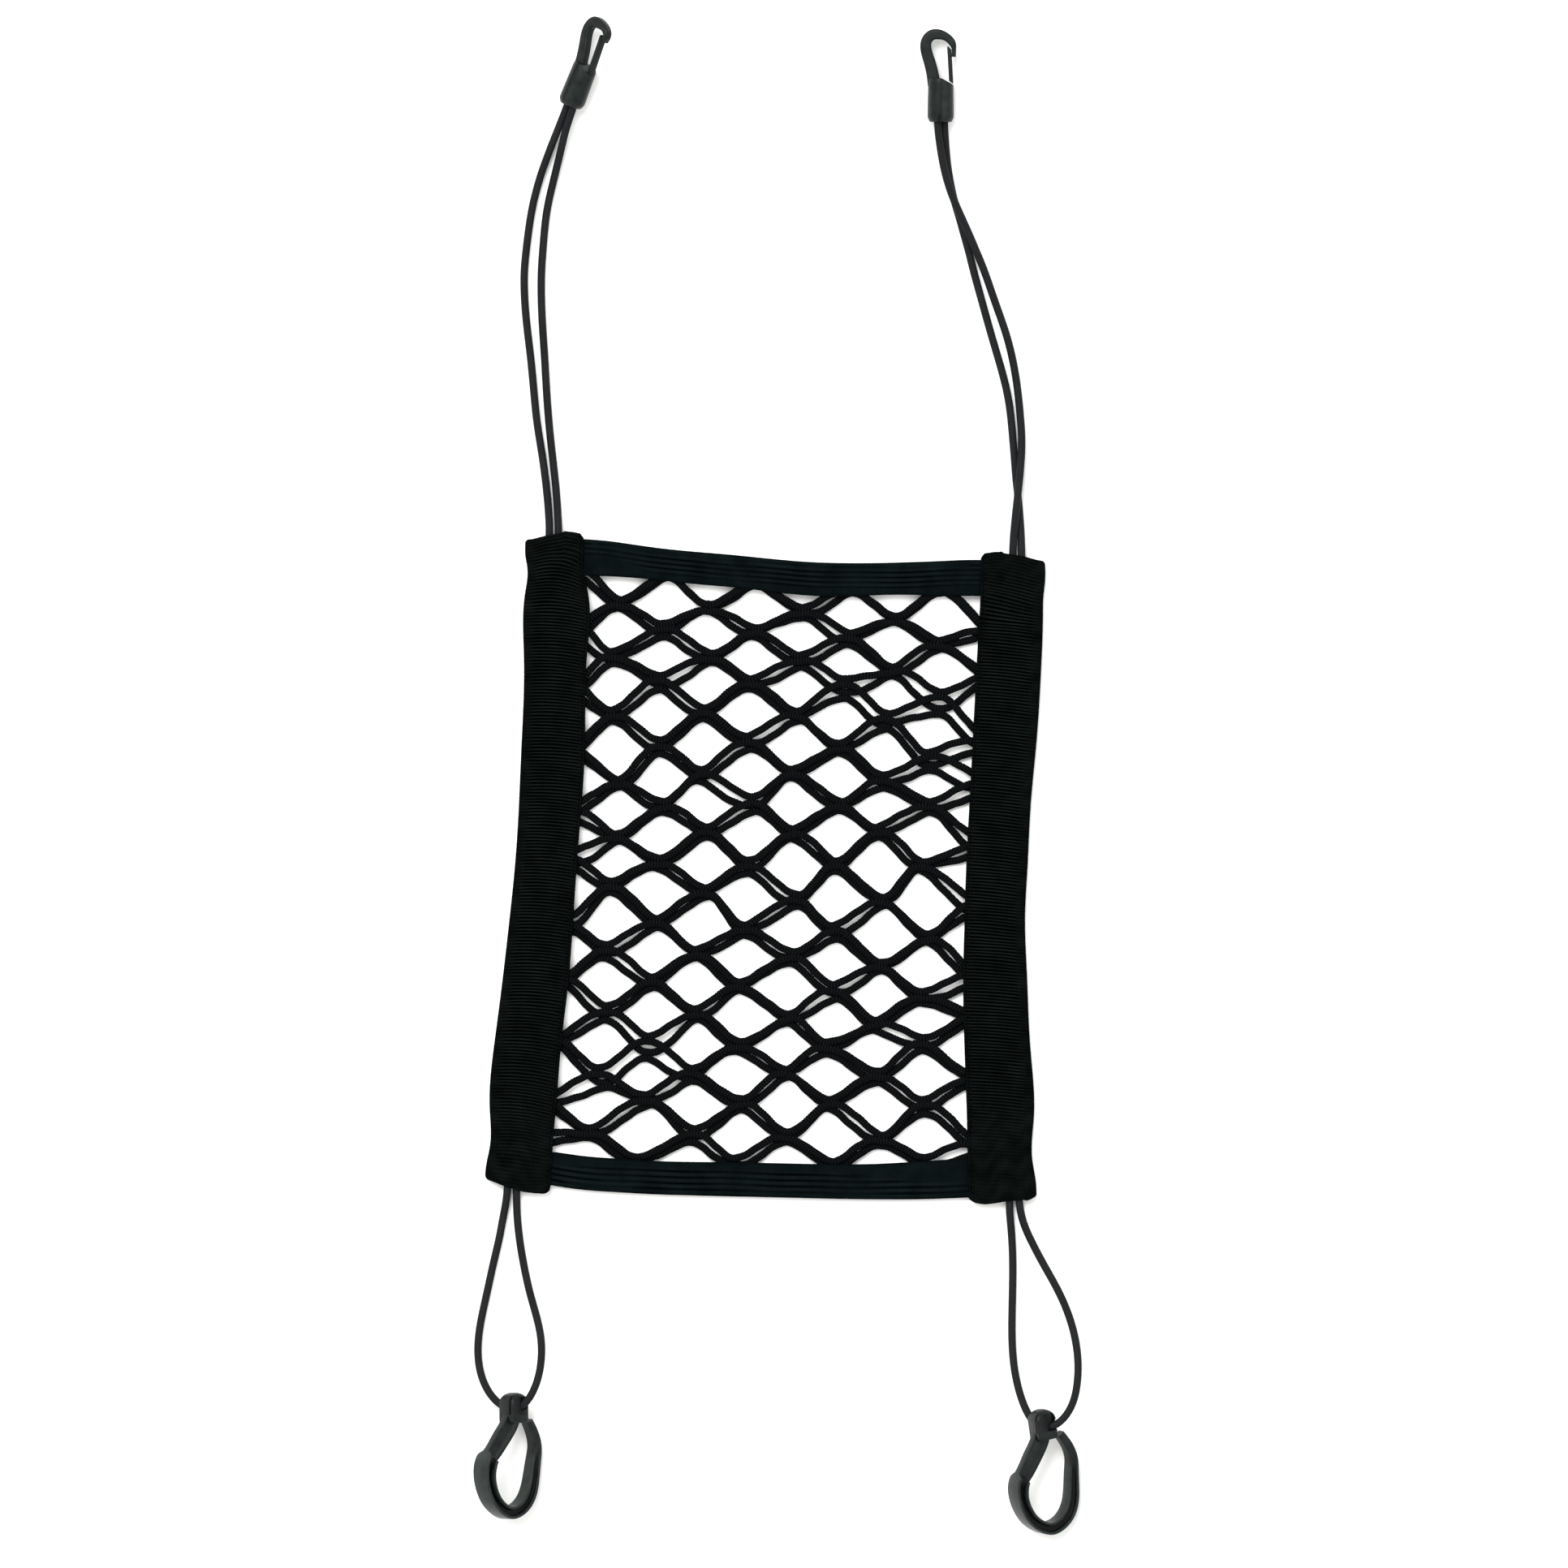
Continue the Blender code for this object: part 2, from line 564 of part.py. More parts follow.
def chamfered_section(width, thick):
    half = width / 2.0
    deep = thick / 2.0
    cut = min(SNAP_CHAMFER, half * 0.6)
    right = [(half - cut, -deep), (half, cut - deep), (half, deep - cut), (half - cut, deep)]
    return right + [(-across, -z) for across, z in right]


def grooved_section(width, thick, groove):
    """A bar with a rim along each edge of its upper and lower face, like a rolled beam."""
    half = width / 2.0
    rim = half - min(HOOK_RIM, half * HOOK_RIM_SHARE)
    floor = rim - HOOK_RIM_SLOPE
    deep = thick / 2.0
    sunk = deep - groove * (deep - HOOK_WEB / 2.0)
    right = [(floor, -sunk), (rim, -deep), (half, -deep), (half, deep), (rim, deep), (floor, sunk)]
    return right + [(-across, -z) for across, z in right]


def swept_bar(name, spine, section, count):
    """A bar lofted along a flat spine. The section's sizes follow across and along in each row."""
    spine = np.array(spine)
    line = spline_through(spine[:, :2], count)
    run = np.concatenate(([0.0], np.cumsum(np.linalg.norm(np.diff(spine[:, :2], axis=0), axis=1))))
    wanted = np.linspace(0.0, run[-1], count)
    sizes = [np.interp(wanted, run, column) for column in spine[:, 2:].T]
    vertices = []
    for i in range(count):
        along = Vector(line[min(i + 1, count - 1)] - line[max(i - 1, 0)]).normalized()
        for offset, z in section(*(size[i] for size in sizes)):
            x = line[i][0] + along.y * offset
            y = line[i][1] - along.x * offset
            vertices.append((x * MM, y * MM, z * MM))
    around = len(vertices) // count
    faces = [tuple(range(around)), tuple(range(len(vertices) - 1, len(vertices) - around - 1, -1))]
    for row in range(count - 1):
        for k in range(around):
            corner, beside = row * around + k, row * around + (k + 1) % around
            faces.append((corner, corner + around, beside + around, beside))
    mesh = mesh_from(name, vertices, faces)
    work = bmesh.new()
    work.from_mesh(mesh)
    bmesh.ops.recalc_face_normals(work, faces=work.faces)
    work.to_mesh(mesh)
    work.free()
    return mesh


def lowest_point(meshes_and_places):
    heights = []
    for mesh, place in meshes_and_places:
        heights += [(place @ vertex.co).z for vertex in mesh.vertices]
    return min(heights)


def block_mesh(name, sizes, rounding):
    """A block, with the upright edges of its +Y side rounded."""
    mesh = bpy.data.meshes.new(name)
    work = bmesh.new()
    bmesh.ops.create_cube(work, size=1.0)
    bmesh.ops.scale(work, verts=work.verts, vec=[size * MM for size in sizes])
    if rounding:
        upright = [
            e for e in work.edges
            if abs(e.verts[0].co.z - e.verts[1].co.z) > 0.5 * MM and e.verts[0].co.y > 0.0
        ]
        bmesh.ops.bevel(work, geom=upright, offset=rounding * MM, segments=4, profile=0.5,
                        affect="EDGES")
    work.to_mesh(mesh)
    work.free()
    return mesh


def make_open_hook(side, x, y, lean, pitch, roll, cord_route):
    name = "open_hook_" + side
    bar = swept_bar(name, HOOK_SPINE, grooved_section, HOOK_STATIONS)
    block = block_mesh(name + "_eye", EYE_BLOCK, EYE_ROUNDING)
    turn = Matrix.Rotation(math.radians(-lean), 4, "Z")
    turn = turn @ Matrix.Rotation(math.radians(pitch), 4, "X")
    turn = turn @ Matrix.Rotation(math.radians(roll), 4, "Y")
    lift = -lowest_point([(bar, turn), (block, turn)])
    place = Matrix.Translation((x * MM, y * MM, lift)) @ turn
    hook = add_part(name, bar, "plastic")
    hook.matrix_world = place
    eye = add_cutter(name + "_eye", block)
    eye.matrix_world = place @ Matrix.Translation((0.0, -EYE_DROP * MM, 0.0))
    add_boolean(hook, eye, "UNION")

    near_eye = [p for p in cord_points(cord_route) if math.dist(p[:2], (x, y)) < BORE_REACH]
    guide = add_cutter(name + "_bore_line", tube_curve(name + "_bore", near_eye, EYE_BORE_DIAMETER))
    bore = add_cutter(name + "_bore", mesh_of(guide))
    bpy.data.objects.remove(guide, do_unlink=True)
    add_boolean(hook, bore, "DIFFERENCE")
    return hook


def barrel_profile():
    """Half outline of the barrel from its closed top round the chamfer and up its hollow."""
    inner = BARREL_HOLLOW_RADIUS
    return (
        (0.0, BARREL_LENGTH),
        (BARREL_TOP_RADIUS - BARREL_EDGE, BARREL_LENGTH),
        (BARREL_TOP_RADIUS, BARREL_LENGTH - BARREL_EDGE),
        (BARREL_RADIUS, BARREL_CHAMFER),
        (inner + BARREL_WALL, 0.0),
        (inner, 0.0),
        (inner, BARREL_HOLLOW_DEPTH),
        (0.0, BARREL_HOLLOW_DEPTH),
    )


def make_snap_hook(side, x, y, lean, pitch, roll):
    name = "snap_hook_" + side
    bow = swept_bar(name, SNAP_SPINE, chamfered_section, SNAP_STATIONS)

    points = barrel_profile()
    edges = [(i, i + 1) for i in range(len(points) - 1)]
    profile = bpy.data.meshes.new(name + "_barrel")
    profile.from_pydata([(radius * MM, 0.0, along * MM) for radius, along in points], edges, [])
    barrel = add_cutter(name + "_barrel", profile)
    screw = barrel.modifiers.new("Turn", "SCREW")
    screw.axis = "Z"
    screw.steps = BARREL_STEPS
    screw.render_steps = BARREL_STEPS
    screw.use_merge_vertices = True
    screw.merge_threshold = 0.01 * MM
    upright = Matrix.Rotation(math.radians(-90.0), 4, "X")

    turn = Matrix.Rotation(math.radians(-lean), 4, "Z")
    turn = turn @ Matrix.Rotation(math.radians(pitch), 4, "X")
    turn = turn @ Matrix.Rotation(math.radians(-roll), 4, "Y")
    lift = -lowest_point([(bow, turn), (mesh_of(barrel), turn @ upright)])
    place = Matrix.Translation((x * MM, y * MM, lift)) @ turn
    hook = add_part(name, bow, "plastic")
    hook.matrix_world = place
    barrel.matrix_world = place @ upright
    add_boolean(hook, barrel, "UNION")

    shoulder = add_cutter(name + "_shoulder", block_mesh(name + "_shoulder", SHOULDER_CUTTER, 0.0))
    slope = Matrix.Rotation(math.radians(-SHOULDER_SLOPE), 4, "Z")
    start = Matrix.Translation((SHOULDER_START * MM, BARREL_LENGTH * MM, 0.0))
    across, along = SHOULDER_CUTTER[0] / 2.0 * MM, SHOULDER_CUTTER[1] / 2.0 * MM
    shoulder.matrix_world = place @ start @ slope @ Matrix.Translation((across, along, 0.0))
    add_boolean(hook, shoulder, "DIFFERENCE")
    make_gate("gate_" + side, place)
    return hook


def make_gate(name, place):
    """The springing tongue. Its foot is cut to the slope of the shoulder under it."""
    half = GATE_WIDTH / 2.0
    cut_across, cut_along = GATE_TIP_CUT
    rise = half * math.tan(math.radians(SHOULDER_SLOPE - GATE_LEAN))
    outline = (
        (-half, GATE_GAP + rise),
        (half, GATE_GAP - rise),
        (half, GATE_LENGTH - cut_along),
        (half - cut_across, GATE_LENGTH),
        (cut_across - half, GATE_LENGTH),
        (-half, GATE_LENGTH - cut_along),
    )
    curve = bpy.data.curves.new(name, "CURVE")
    curve.dimensions = "2D"
    curve.fill_mode = "BOTH"
    curve.extrude = GATE_DEPTH / 2.0 * MM
    spline = curve.splines.new("POLY")
    spline.points.add(len(outline) - 1)
    spline.use_cyclic_u = True
    for target, (across, along) in zip(spline.points, outline):
        target.co = (across * MM, along * MM, 0.0, 1.0)
    gate = add_part(name, curve, "plastic")
    root = Matrix.Translation((GATE_ROOT[0] * MM, GATE_ROOT[1] * MM, 0.0))
    gate.matrix_world = place @ root @ Matrix.Rotation(math.radians(GATE_LEAN), 4, "Z")
    return gate


# ---- the whole -----------------------------------------------------------------------------------

clear_scene()
PARTS = make_collection("pet_car_barrier_net")
CUTTERS = make_collection("cutters")

make_folded_band("sleeve_left", "sleeve", sleeve_stations(SLEEVE_LEFT))
make_folded_band("sleeve_right", "sleeve", sleeve_stations(SLEEVE_RIGHT))
for band_name, table in (("binding_top", BINDING_TOP), ("binding_bottom", BINDING_BOTTOM)):
    # the open edges of the sleeves at the binding's own height
    middle_y = (table[0][1] + table[0][2]) / 2.0
    left_x = open_edge_x(SLEEVE_LEFT, middle_y)
    right_x = open_edge_x(SLEEVE_RIGHT, middle_y)
    make_folded_band(band_name, "binding", binding_stations(table, left_x, right_x))

shift_x, shift_y = NET_LAYER_SHIFT
make_net("net_back", NET_BACK_Z, (-shift_x, -shift_y))
make_net("net_front", NET_FRONT_Z, (shift_x, shift_y))

make_cord("cord_upper_left_a", CORD_UPPER_LEFT_A)
make_cord("cord_upper_left_b", CORD_UPPER_LEFT_B)
make_cord("cord_upper_right_a", CORD_UPPER_RIGHT_A)
make_cord("cord_upper_right_b", CORD_UPPER_RIGHT_B)
make_cord("cord_lower_left", CORD_LOWER_LEFT)
make_cord("cord_lower_right", CORD_LOWER_RIGHT)

for snap_row in SNAP_HOOKS:
    make_snap_hook(*snap_row)
for hook_row, route in zip(OPEN_HOOKS, (CORD_LOWER_LEFT, CORD_LOWER_RIGHT)):
    make_open_hook(*hook_row, route)
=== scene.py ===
import json

import bpy
import numpy as np
from mathutils import Matrix, Vector


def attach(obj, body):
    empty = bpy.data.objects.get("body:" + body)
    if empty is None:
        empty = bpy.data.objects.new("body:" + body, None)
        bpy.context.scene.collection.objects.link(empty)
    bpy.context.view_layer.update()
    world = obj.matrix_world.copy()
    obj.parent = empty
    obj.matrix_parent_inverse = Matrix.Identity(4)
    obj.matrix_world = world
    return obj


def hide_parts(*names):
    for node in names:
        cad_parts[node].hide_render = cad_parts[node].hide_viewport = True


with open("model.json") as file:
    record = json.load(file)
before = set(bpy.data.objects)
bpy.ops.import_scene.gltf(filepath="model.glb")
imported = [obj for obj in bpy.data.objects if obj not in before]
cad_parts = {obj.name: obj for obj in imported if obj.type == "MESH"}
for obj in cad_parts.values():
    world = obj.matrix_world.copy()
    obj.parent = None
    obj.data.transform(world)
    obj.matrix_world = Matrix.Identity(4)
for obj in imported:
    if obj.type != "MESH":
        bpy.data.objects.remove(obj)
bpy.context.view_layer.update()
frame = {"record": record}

# pet car barrier net: two layers of open elastic net between ribbed sleeves and bindings,
# with elastic cords, snap hooks above and open hooks below
# tables and the hooks' sizes are in millimetres, scaled where they are used
# sizes with mm beside them, and everything else, are in metres

mm = 0.001
bodies = frame["record"]["behaviour"]["bodies"]
bodyOf = {node: body for body, nodes in bodies.items() for node in nodes}


# shared shape helpers


def splineThrough(points, spacing):
    # natural cubic spline through the rows, read at even steps of about the given spacing
    points = np.asarray(points, float)
    chord = np.linalg.norm(np.diff(points[:, :2], axis=0), axis=1)
    at = np.concatenate(([0.0], np.cumsum(chord)))
    size = len(points)
    inner = np.arange(1, size - 1)
    system = np.eye(size)
    system[inner, inner - 1] = chord[:-1]
    system[inner, inner] = 2.0 * (chord[:-1] + chord[1:])
    system[inner, inner + 1] = chord[1:]
    change = np.zeros_like(points)
    change[1:-1] = 6.0 * np.diff(np.diff(points, axis=0) / chord[:, None], axis=0)
    bend = np.linalg.solve(system, change)

    where = np.linspace(0.0, at[-1], 60 * size)
    i = np.clip(np.searchsorted(at, where) - 1, 0, size - 2)
    width = chord[i][:, None]
    before = (at[i + 1] - where)[:, None]
    after = (where - at[i])[:, None]
    fine = (bend[i] * before ** 3 + bend[i + 1] * after ** 3) / (6.0 * width)
    fine += (points[i] / width - bend[i] * width / 6.0) * before
    fine += (points[i + 1] / width - bend[i + 1] * width / 6.0) * after
    return evenSteps(fine, spacing)


def evenSteps(points, spacing):
    # the same line with its points a constant distance apart
    run = runOf(points)
    wanted = np.linspace(0.0, run[-1], max(2, int(round(run[-1] / spacing)) + 1))
    return np.stack([np.interp(wanted, run, column) for column in points.T], axis=1)


def runOf(points):
    # distance along a line at each of its points
    return np.concatenate(([0.0], np.cumsum(np.linalg.norm(np.diff(points, axis=0), axis=1))))


def softStep(share):
    # 0 to 1 with level ends
    share = np.clip(share, 0.0, 1.0)
    return share * share * (3.0 - 2.0 * share)


def fade(distance, reach):
    # 1 at an edge, falling to 0 at the given reach from it
    return softStep(1.0 - distance / reach)


def waves(rows, along, across=0.0):
    # a sum of sines: size * sin(along * rate + across * turn + start) for each row
    return sum(size * np.sin(along * rate + across * turn + start) for size, rate, turn, start in rows)


def unitRing(sides):
    # the points of a circle of radius 1
    angle = np.linspace(0.0, 2.0 * np.pi, sides + 1)[:-1]
    return np.stack([np.cos(angle), np.sin(angle)], axis=1)


def aroundTube(sides, radius):
    # distance round a tube at each of its corners, back to the first
    return np.linspace(0.0, 2.0 * np.pi, sides + 1) * radius


def tubeGrid(points, sections):
    # a closed section carried along a line: point + side * section x + up * section y,
    # with side level and square to the line, and up square to both
    tangent = np.gradient(points, axis=0)
    tangent /= np.linalg.norm(tangent, axis=1)[:, None]
    side = np.stack([-tangent[:, 1], tangent[:, 0], np.zeros(len(points))], axis=1)
    side /= np.linalg.norm(side, axis=1)[:, None]
    up = np.cross(tangent, side)
    return points[:, None] + side[:, None] * sections[..., 0:1] + up[:, None] * sections[..., 1:2]


def roundCorners(polygons, radius, most=0.42):
    # every corner becomes four points of the parabola that touches both its edges,
    # over the radius but at most a share of the edge
    before = np.roll(polygons, 1, axis=1) - polygons
    after = np.roll(polygons, -1, axis=1) - polygons
    reach = []
    for edge in (before, after):
        size = np.maximum(np.linalg.norm(edge, axis=-1, keepdims=True), 1e-9)
        reach.append(edge / size * np.minimum(radius, most * size))
    t = np.array([0.0, 1.0, 2.0, 3.0])[:, None] / 3.0
    bent = polygons[:, :, None] + reach[0][:, :, None] * (1.0 - t) ** 2 + reach[1][:, :, None] * t ** 2
    return bent.reshape(len(polygons), -1, 2)


class Shape:
    # collects closed lofts and makes one mesh object of them
    def __init__(self):
        self.points, self.quads, self.quadUvs = [], [], []
        self.triangles, self.marks, self.count = [], [], 0

    def addLoft(self, grid, around=None, along=None, marks=None, hollow=False):
        # rings of points, with fans at both ends, or strips across a hollow section's wall
        rows, columns = grid.shape[:2]
        if around is None:
            around, along = np.arange(columns + 1) / columns, np.arange(rows) / rows
        row = np.arange(rows - 1)[:, None] * columns
        column = np.arange(columns)[None, :]
        beside = (column + 1) % columns
        faces = np.stack([row + column, row + beside, row + columns + beside, row + columns + column],
                         axis=-1).reshape(-1, 4)
        points = grid.reshape(-1, 3)
        last = (rows - 1) * columns
        if hollow:
            k = np.arange(columns // 2 - 1)
            cap = np.stack([k, columns - 1 - k, columns - 2 - k, k + 1], axis=1)
            faces = np.concatenate([faces, cap, cap[:, ::-1] + last])
            fans = np.zeros((0, 3), int)
        else:
            ends = rows * columns
            points = np.concatenate([points, grid[0].mean(axis=0)[None], grid[-1].mean(axis=0)[None]])
            first, second = column[0], beside[0]
            fans = np.concatenate([
                np.stack([np.full(columns, ends), second, first], axis=1),
                np.stack([np.full(columns, ends + 1), last + first, last + second], axis=1),
            ])
        uvs = np.zeros((len(faces), 4, 2))
        sides = (rows - 1) * columns
        a, b = np.meshgrid(np.arange(rows - 1), np.arange(columns), indexing="ij")
        a, b = a.ravel(), b.ravel()
        uvs[:sides, :, 0] = around[np.stack([b, b + 1, b + 1, b], axis=1)]
        uvs[:sides, :, 1] = along[np.stack([a, a, a + 1, a + 1], axis=1)]

        middle = points - points.mean(axis=0)
        p, q, r, s = (middle[faces[:, k]] for k in range(4))
        volume = np.einsum("ij,ij->", p, np.cross(q, r)) + np.einsum("ij,ij->", p, np.cross(r, s))
        if volume < 0.0:                                  # turned inside out: reverse every face
            faces, uvs, fans = faces[:, ::-1], uvs[:, ::-1], fans[:, ::-1]
        self.points.append(points)
        tone = np.full(rows * columns, 0.5) if marks is None else marks.ravel()
        self.marks.append(np.append(tone, np.full(len(points) - len(tone), tone[-1])))
        self.quads.append(faces + self.count)
        self.quadUvs.append(uvs.reshape(-1, 2))
        self.triangles.append(fans + self.count)
        self.count += len(points)

    def make(self, name, finish=None, sharp=None, place=None):
        points = np.concatenate(self.points)
        if place is not None:
            turn, origin = place
            points = points @ turn.T + origin
        quads, triangles = np.concatenate(self.quads), np.concatenate(self.triangles)
        mesh = bpy.data.meshes.new(name)
        mesh.from_pydata(points, [], quads.tolist() + triangles.tolist())
        uvs = np.concatenate([np.concatenate(self.quadUvs), np.zeros((triangles.size, 2))])
        mesh.uv_layers.new(name="surface").data.foreach_set("uv", uvs.astype(np.float32).ravel())
        # each point's marks: painted light and shade, and plain tones
        lightAndShadeTone = mesh.attributes.new("lightAndShadeTone", "FLOAT", "POINT")
        lightAndShadeTone.data.foreach_set("value", np.concatenate(self.marks).astype(np.float32))
        mesh.shade_smooth()
        if sharp:
            mesh.set_sharp_from_angle(angle=np.radians(sharp))
        if finish:
            mesh.materials.append(finish)
        return addObject(name, mesh)


def addObject(name, data):
    item = bpy.data.objects.new(name, data)
    bpy.context.scene.collection.objects.link(item)
    return item


def showFor(piece, node):
    # the piece moves with the node's body and is shown in its place
    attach(piece, bodyOf[node])
    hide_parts(node)


# finishes


def newFinish(name, roughness, specular):
    finish = bpy.data.materials.new(name)
    finish.use_nodes = True
    shader = finish.node_tree.nodes["Principled BSDF"]
    shader.inputs["Roughness"].default_value = roughness
    shader.inputs["Specular IOR Level"].default_value = specular
    return finish, finish.node_tree, shader


def addNode(tree, kind, settings=(), links=()):
    node = tree.nodes.new(kind)
    for name, value in dict(settings).items():
        if name in node.inputs:
            node.inputs[name].default_value = value
        else:
            setattr(node, name, value)
    for name, source in dict(links).items():
        tree.links.new(source, node.inputs[name])
    return node


def colourBetween(tree, shader, factor, dark, light):
    # base colour runs from dark to light with the factor
    ramp = addNode(tree, "ShaderNodeMix", {"data_type": "RGBA"})
    ramp.inputs[6].default_value = (*dark, 1.0)
    ramp.inputs[7].default_value = (*light, 1.0)
    tree.links.new(factor, ramp.inputs[0])
    tree.links.new(ramp.outputs[2], shader.inputs["Base Color"])


def addBump(tree, shader, height, distance, strength=1.0):
    bump = addNode(tree, "ShaderNodeBump", {"Strength": strength, "Distance": distance},
                   {"Height": height})
    tree.links.new(bump.outputs["Normal"], shader.inputs["Normal"])


def scaledUv(tree, across, along, turn=0.0):
    # the piece's own surface coordinates, in patterns per metre
    place = addNode(tree, "ShaderNodeUVMap", {"uv_map": "surface"})
    return addNode(tree, "ShaderNodeMapping",
                   {"Scale": (across, along, 1.0), "Rotation": (0.0, 0.0, turn)},
                   {"Vector": place.outputs["UV"]}).outputs["Vector"]


def shapeLightAndShade(tree):
    # the painted light and shade, and plain tones, that the shape carries
    return addNode(tree, "ShaderNodeAttribute", {"attribute_name": "lightAndShadeTone"}).outputs["Fac"]


def objectNoise(tree, scale, detail):
    place = addNode(tree, "ShaderNodeTexCoord").outputs["Object"]
    return addNode(tree, "ShaderNodeTexNoise", {"Scale": scale, "Detail": detail},
                   {"Vector": place}).outputs["Fac"]


def combine(tree, operation, a, b):
    node = addNode(tree, "ShaderNodeMath", {"operation": operation})
    for socket, value in zip(node.inputs, (a, b)):
        if isinstance(value, (int, float)):
            socket.default_value = value
        else:
            tree.links.new(value, socket)
    return node.outputs[0]


def plasticFinish():
    # satin plastic: the shape's marks paint shade into its grooves and highlights onto its rims and
    # barrel, and a cloud mottles it
    finish, tree, shader = newFinish("mouldedPlastic", 0.34, 0.11)
    cloud = combine(tree, "MULTIPLY", objectNoise(tree, 260.0, 4.0), 1.8)
    tone = combine(tree, "MULTIPLY", shapeLightAndShade(tree), cloud)
    colourBetween(tree, shader, tone, (0.0003, 0.0004, 0.0008), (0.0150, 0.0195, 0.0187))
    addBump(tree, shader, objectNoise(tree, 2600.0, 3.0), 0.00004, 0.5)
    return finish


def cordFinish():
    # smooth covered elastic: two fine diagonal sets of threads
    finish, tree, shader = newFinish("coveredElastic", 0.55, 0.05)
    one, other = (addNode(tree, "ShaderNodeTexWave", {"Scale": 1.0},
                          {"Vector": scaledUv(tree, 520.0, 520.0, turn)}).outputs["Fac"]
                  for turn in (0.785, -0.785))
    braid = combine(tree, "MAXIMUM", one, other)
    blend = combine(tree, "MULTIPLY", braid, objectNoise(tree, 90.0, 3.0))
    colourBetween(tree, shader, blend, (0.0052, 0.006, 0.007), (0.0150, 0.0160, 0.0178))
    addBump(tree, shader, braid, 0.00005, 0.5)
    return finish


def yarnFinish():
    # knitted elastic yarn: fine ribs across it
    finish, tree, shader = newFinish("knittedYarn", 0.9, 0.02)
    ribs = addNode(tree, "ShaderNodeTexWave",
                   {"Scale": 260.0, "Distortion": 1.2, "Detail": 1.0, "bands_direction": "Y"},
                   {"Vector": scaledUv(tree, 0.0, 1.0)})
    pattern = combine(tree, "MULTIPLY", ribs.outputs["Fac"], objectNoise(tree, 1500.0, 3.0))
    colourBetween(tree, shader, pattern, (0.0005, 0.0006, 0.0009), (0.0078, 0.0093, 0.0098))
    addBump(tree, shader, pattern, 0.00018, 0.8)
    return finish


def bandFinish(name, dark, light, weaveScale, direction):
    # ribbed tape: the ribs' relief and their painted highlights and shade come from the shape, with a fine
    # weave over them
    finish, tree, shader = newFinish(name, 0.95, 0.0)
    weave = addNode(tree, "ShaderNodeTexWave",
                    {"Scale": weaveScale, "Distortion": 0.8, "Detail": 1.0,
                     "bands_direction": direction},
                    {"Vector": scaledUv(tree, 1.0, 1.0)}).outputs["Fac"]
    cloud = combine(tree, "MULTIPLY", objectNoise(tree, 130.0, 4.0), 1.3)
    threads = combine(tree, "ADD", combine(tree, "MULTIPLY", weave, 0.35), cloud)
    colourBetween(tree, shader, combine(tree, "MULTIPLY", shapeLightAndShade(tree), threads), dark, light)
    addBump(tree, shader, weave, 0.00006, 0.5)
    return finish


def floorFinish():
    finish, tree, shader = newFinish("paleFloor", 0.9, 0.1)
    colourBetween(tree, shader, objectNoise(tree, 3.0, 2.0), (0.93, 0.93, 0.915), (0.95, 0.95, 0.935))
    return finish


# camera, floor and light


def makeStage():
    stage = {
        "viewCentre": (0.0082, 0.0354), "viewWidth": 0.6582, "cameraHeight": 12.0, "sensor": 36.0,
        "floorSize": 6.0, "floorLevel": -0.0001, "worldStrength": 1.15,
    }
    bpy.context.scene.view_settings.view_transform = "Standard"
    camera = addObject("camera", bpy.data.cameras.new("camera"))
    camera.data.sensor_width = stage["sensor"]
    camera.data.lens = stage["sensor"] * stage["cameraHeight"] / stage["viewWidth"]
    camera.data.clip_end = 50.0
    camera.location = (*stage["viewCentre"], stage["cameraHeight"])
    bpy.context.scene.camera = camera

    half, level = stage["floorSize"] / 2.0, stage["floorLevel"]
    mesh = bpy.data.meshes.new("floor")
    corners = [(x * half, y * half, level) for x, y in ((-1, -1), (1, -1), (1, 1), (-1, 1))]
    mesh.from_pydata(corners, [], [(0, 1, 2, 3)])
    mesh.materials.append(floorFinish())
    addObject("floor", mesh)

    world = bpy.data.worlds.new("studio")
    bpy.context.scene.world = world
    world.use_nodes = True
    background = world.node_tree.nodes["Background"]
    background.inputs["Color"].default_value = (1.0, 1.0, 0.99, 1.0)
    background.inputs["Strength"].default_value = stage["worldStrength"]


def makeLamps():
    lamps = {
        # direction the light comes from, strength, apparent size in degrees
        "keyLight": ((-0.45, 0.75, 1.5), 3.0, 32.0),
        "fillLight": ((0.9, -0.1, 1.3), 0.4, 40.0),
    }
    for name, (source, strength, size) in lamps.items():
        data = bpy.data.lights.new(name, "SUN")
        data.energy = strength
        data.angle = np.radians(size)
        lamp = addObject(name, data)
        lamp.location = source
        lamp.rotation_euler = (-Vector(source)).to_track_quat("-Z", "Y").to_euler()


# hooks and gates, in their own coordinates: x across, y along, z thick

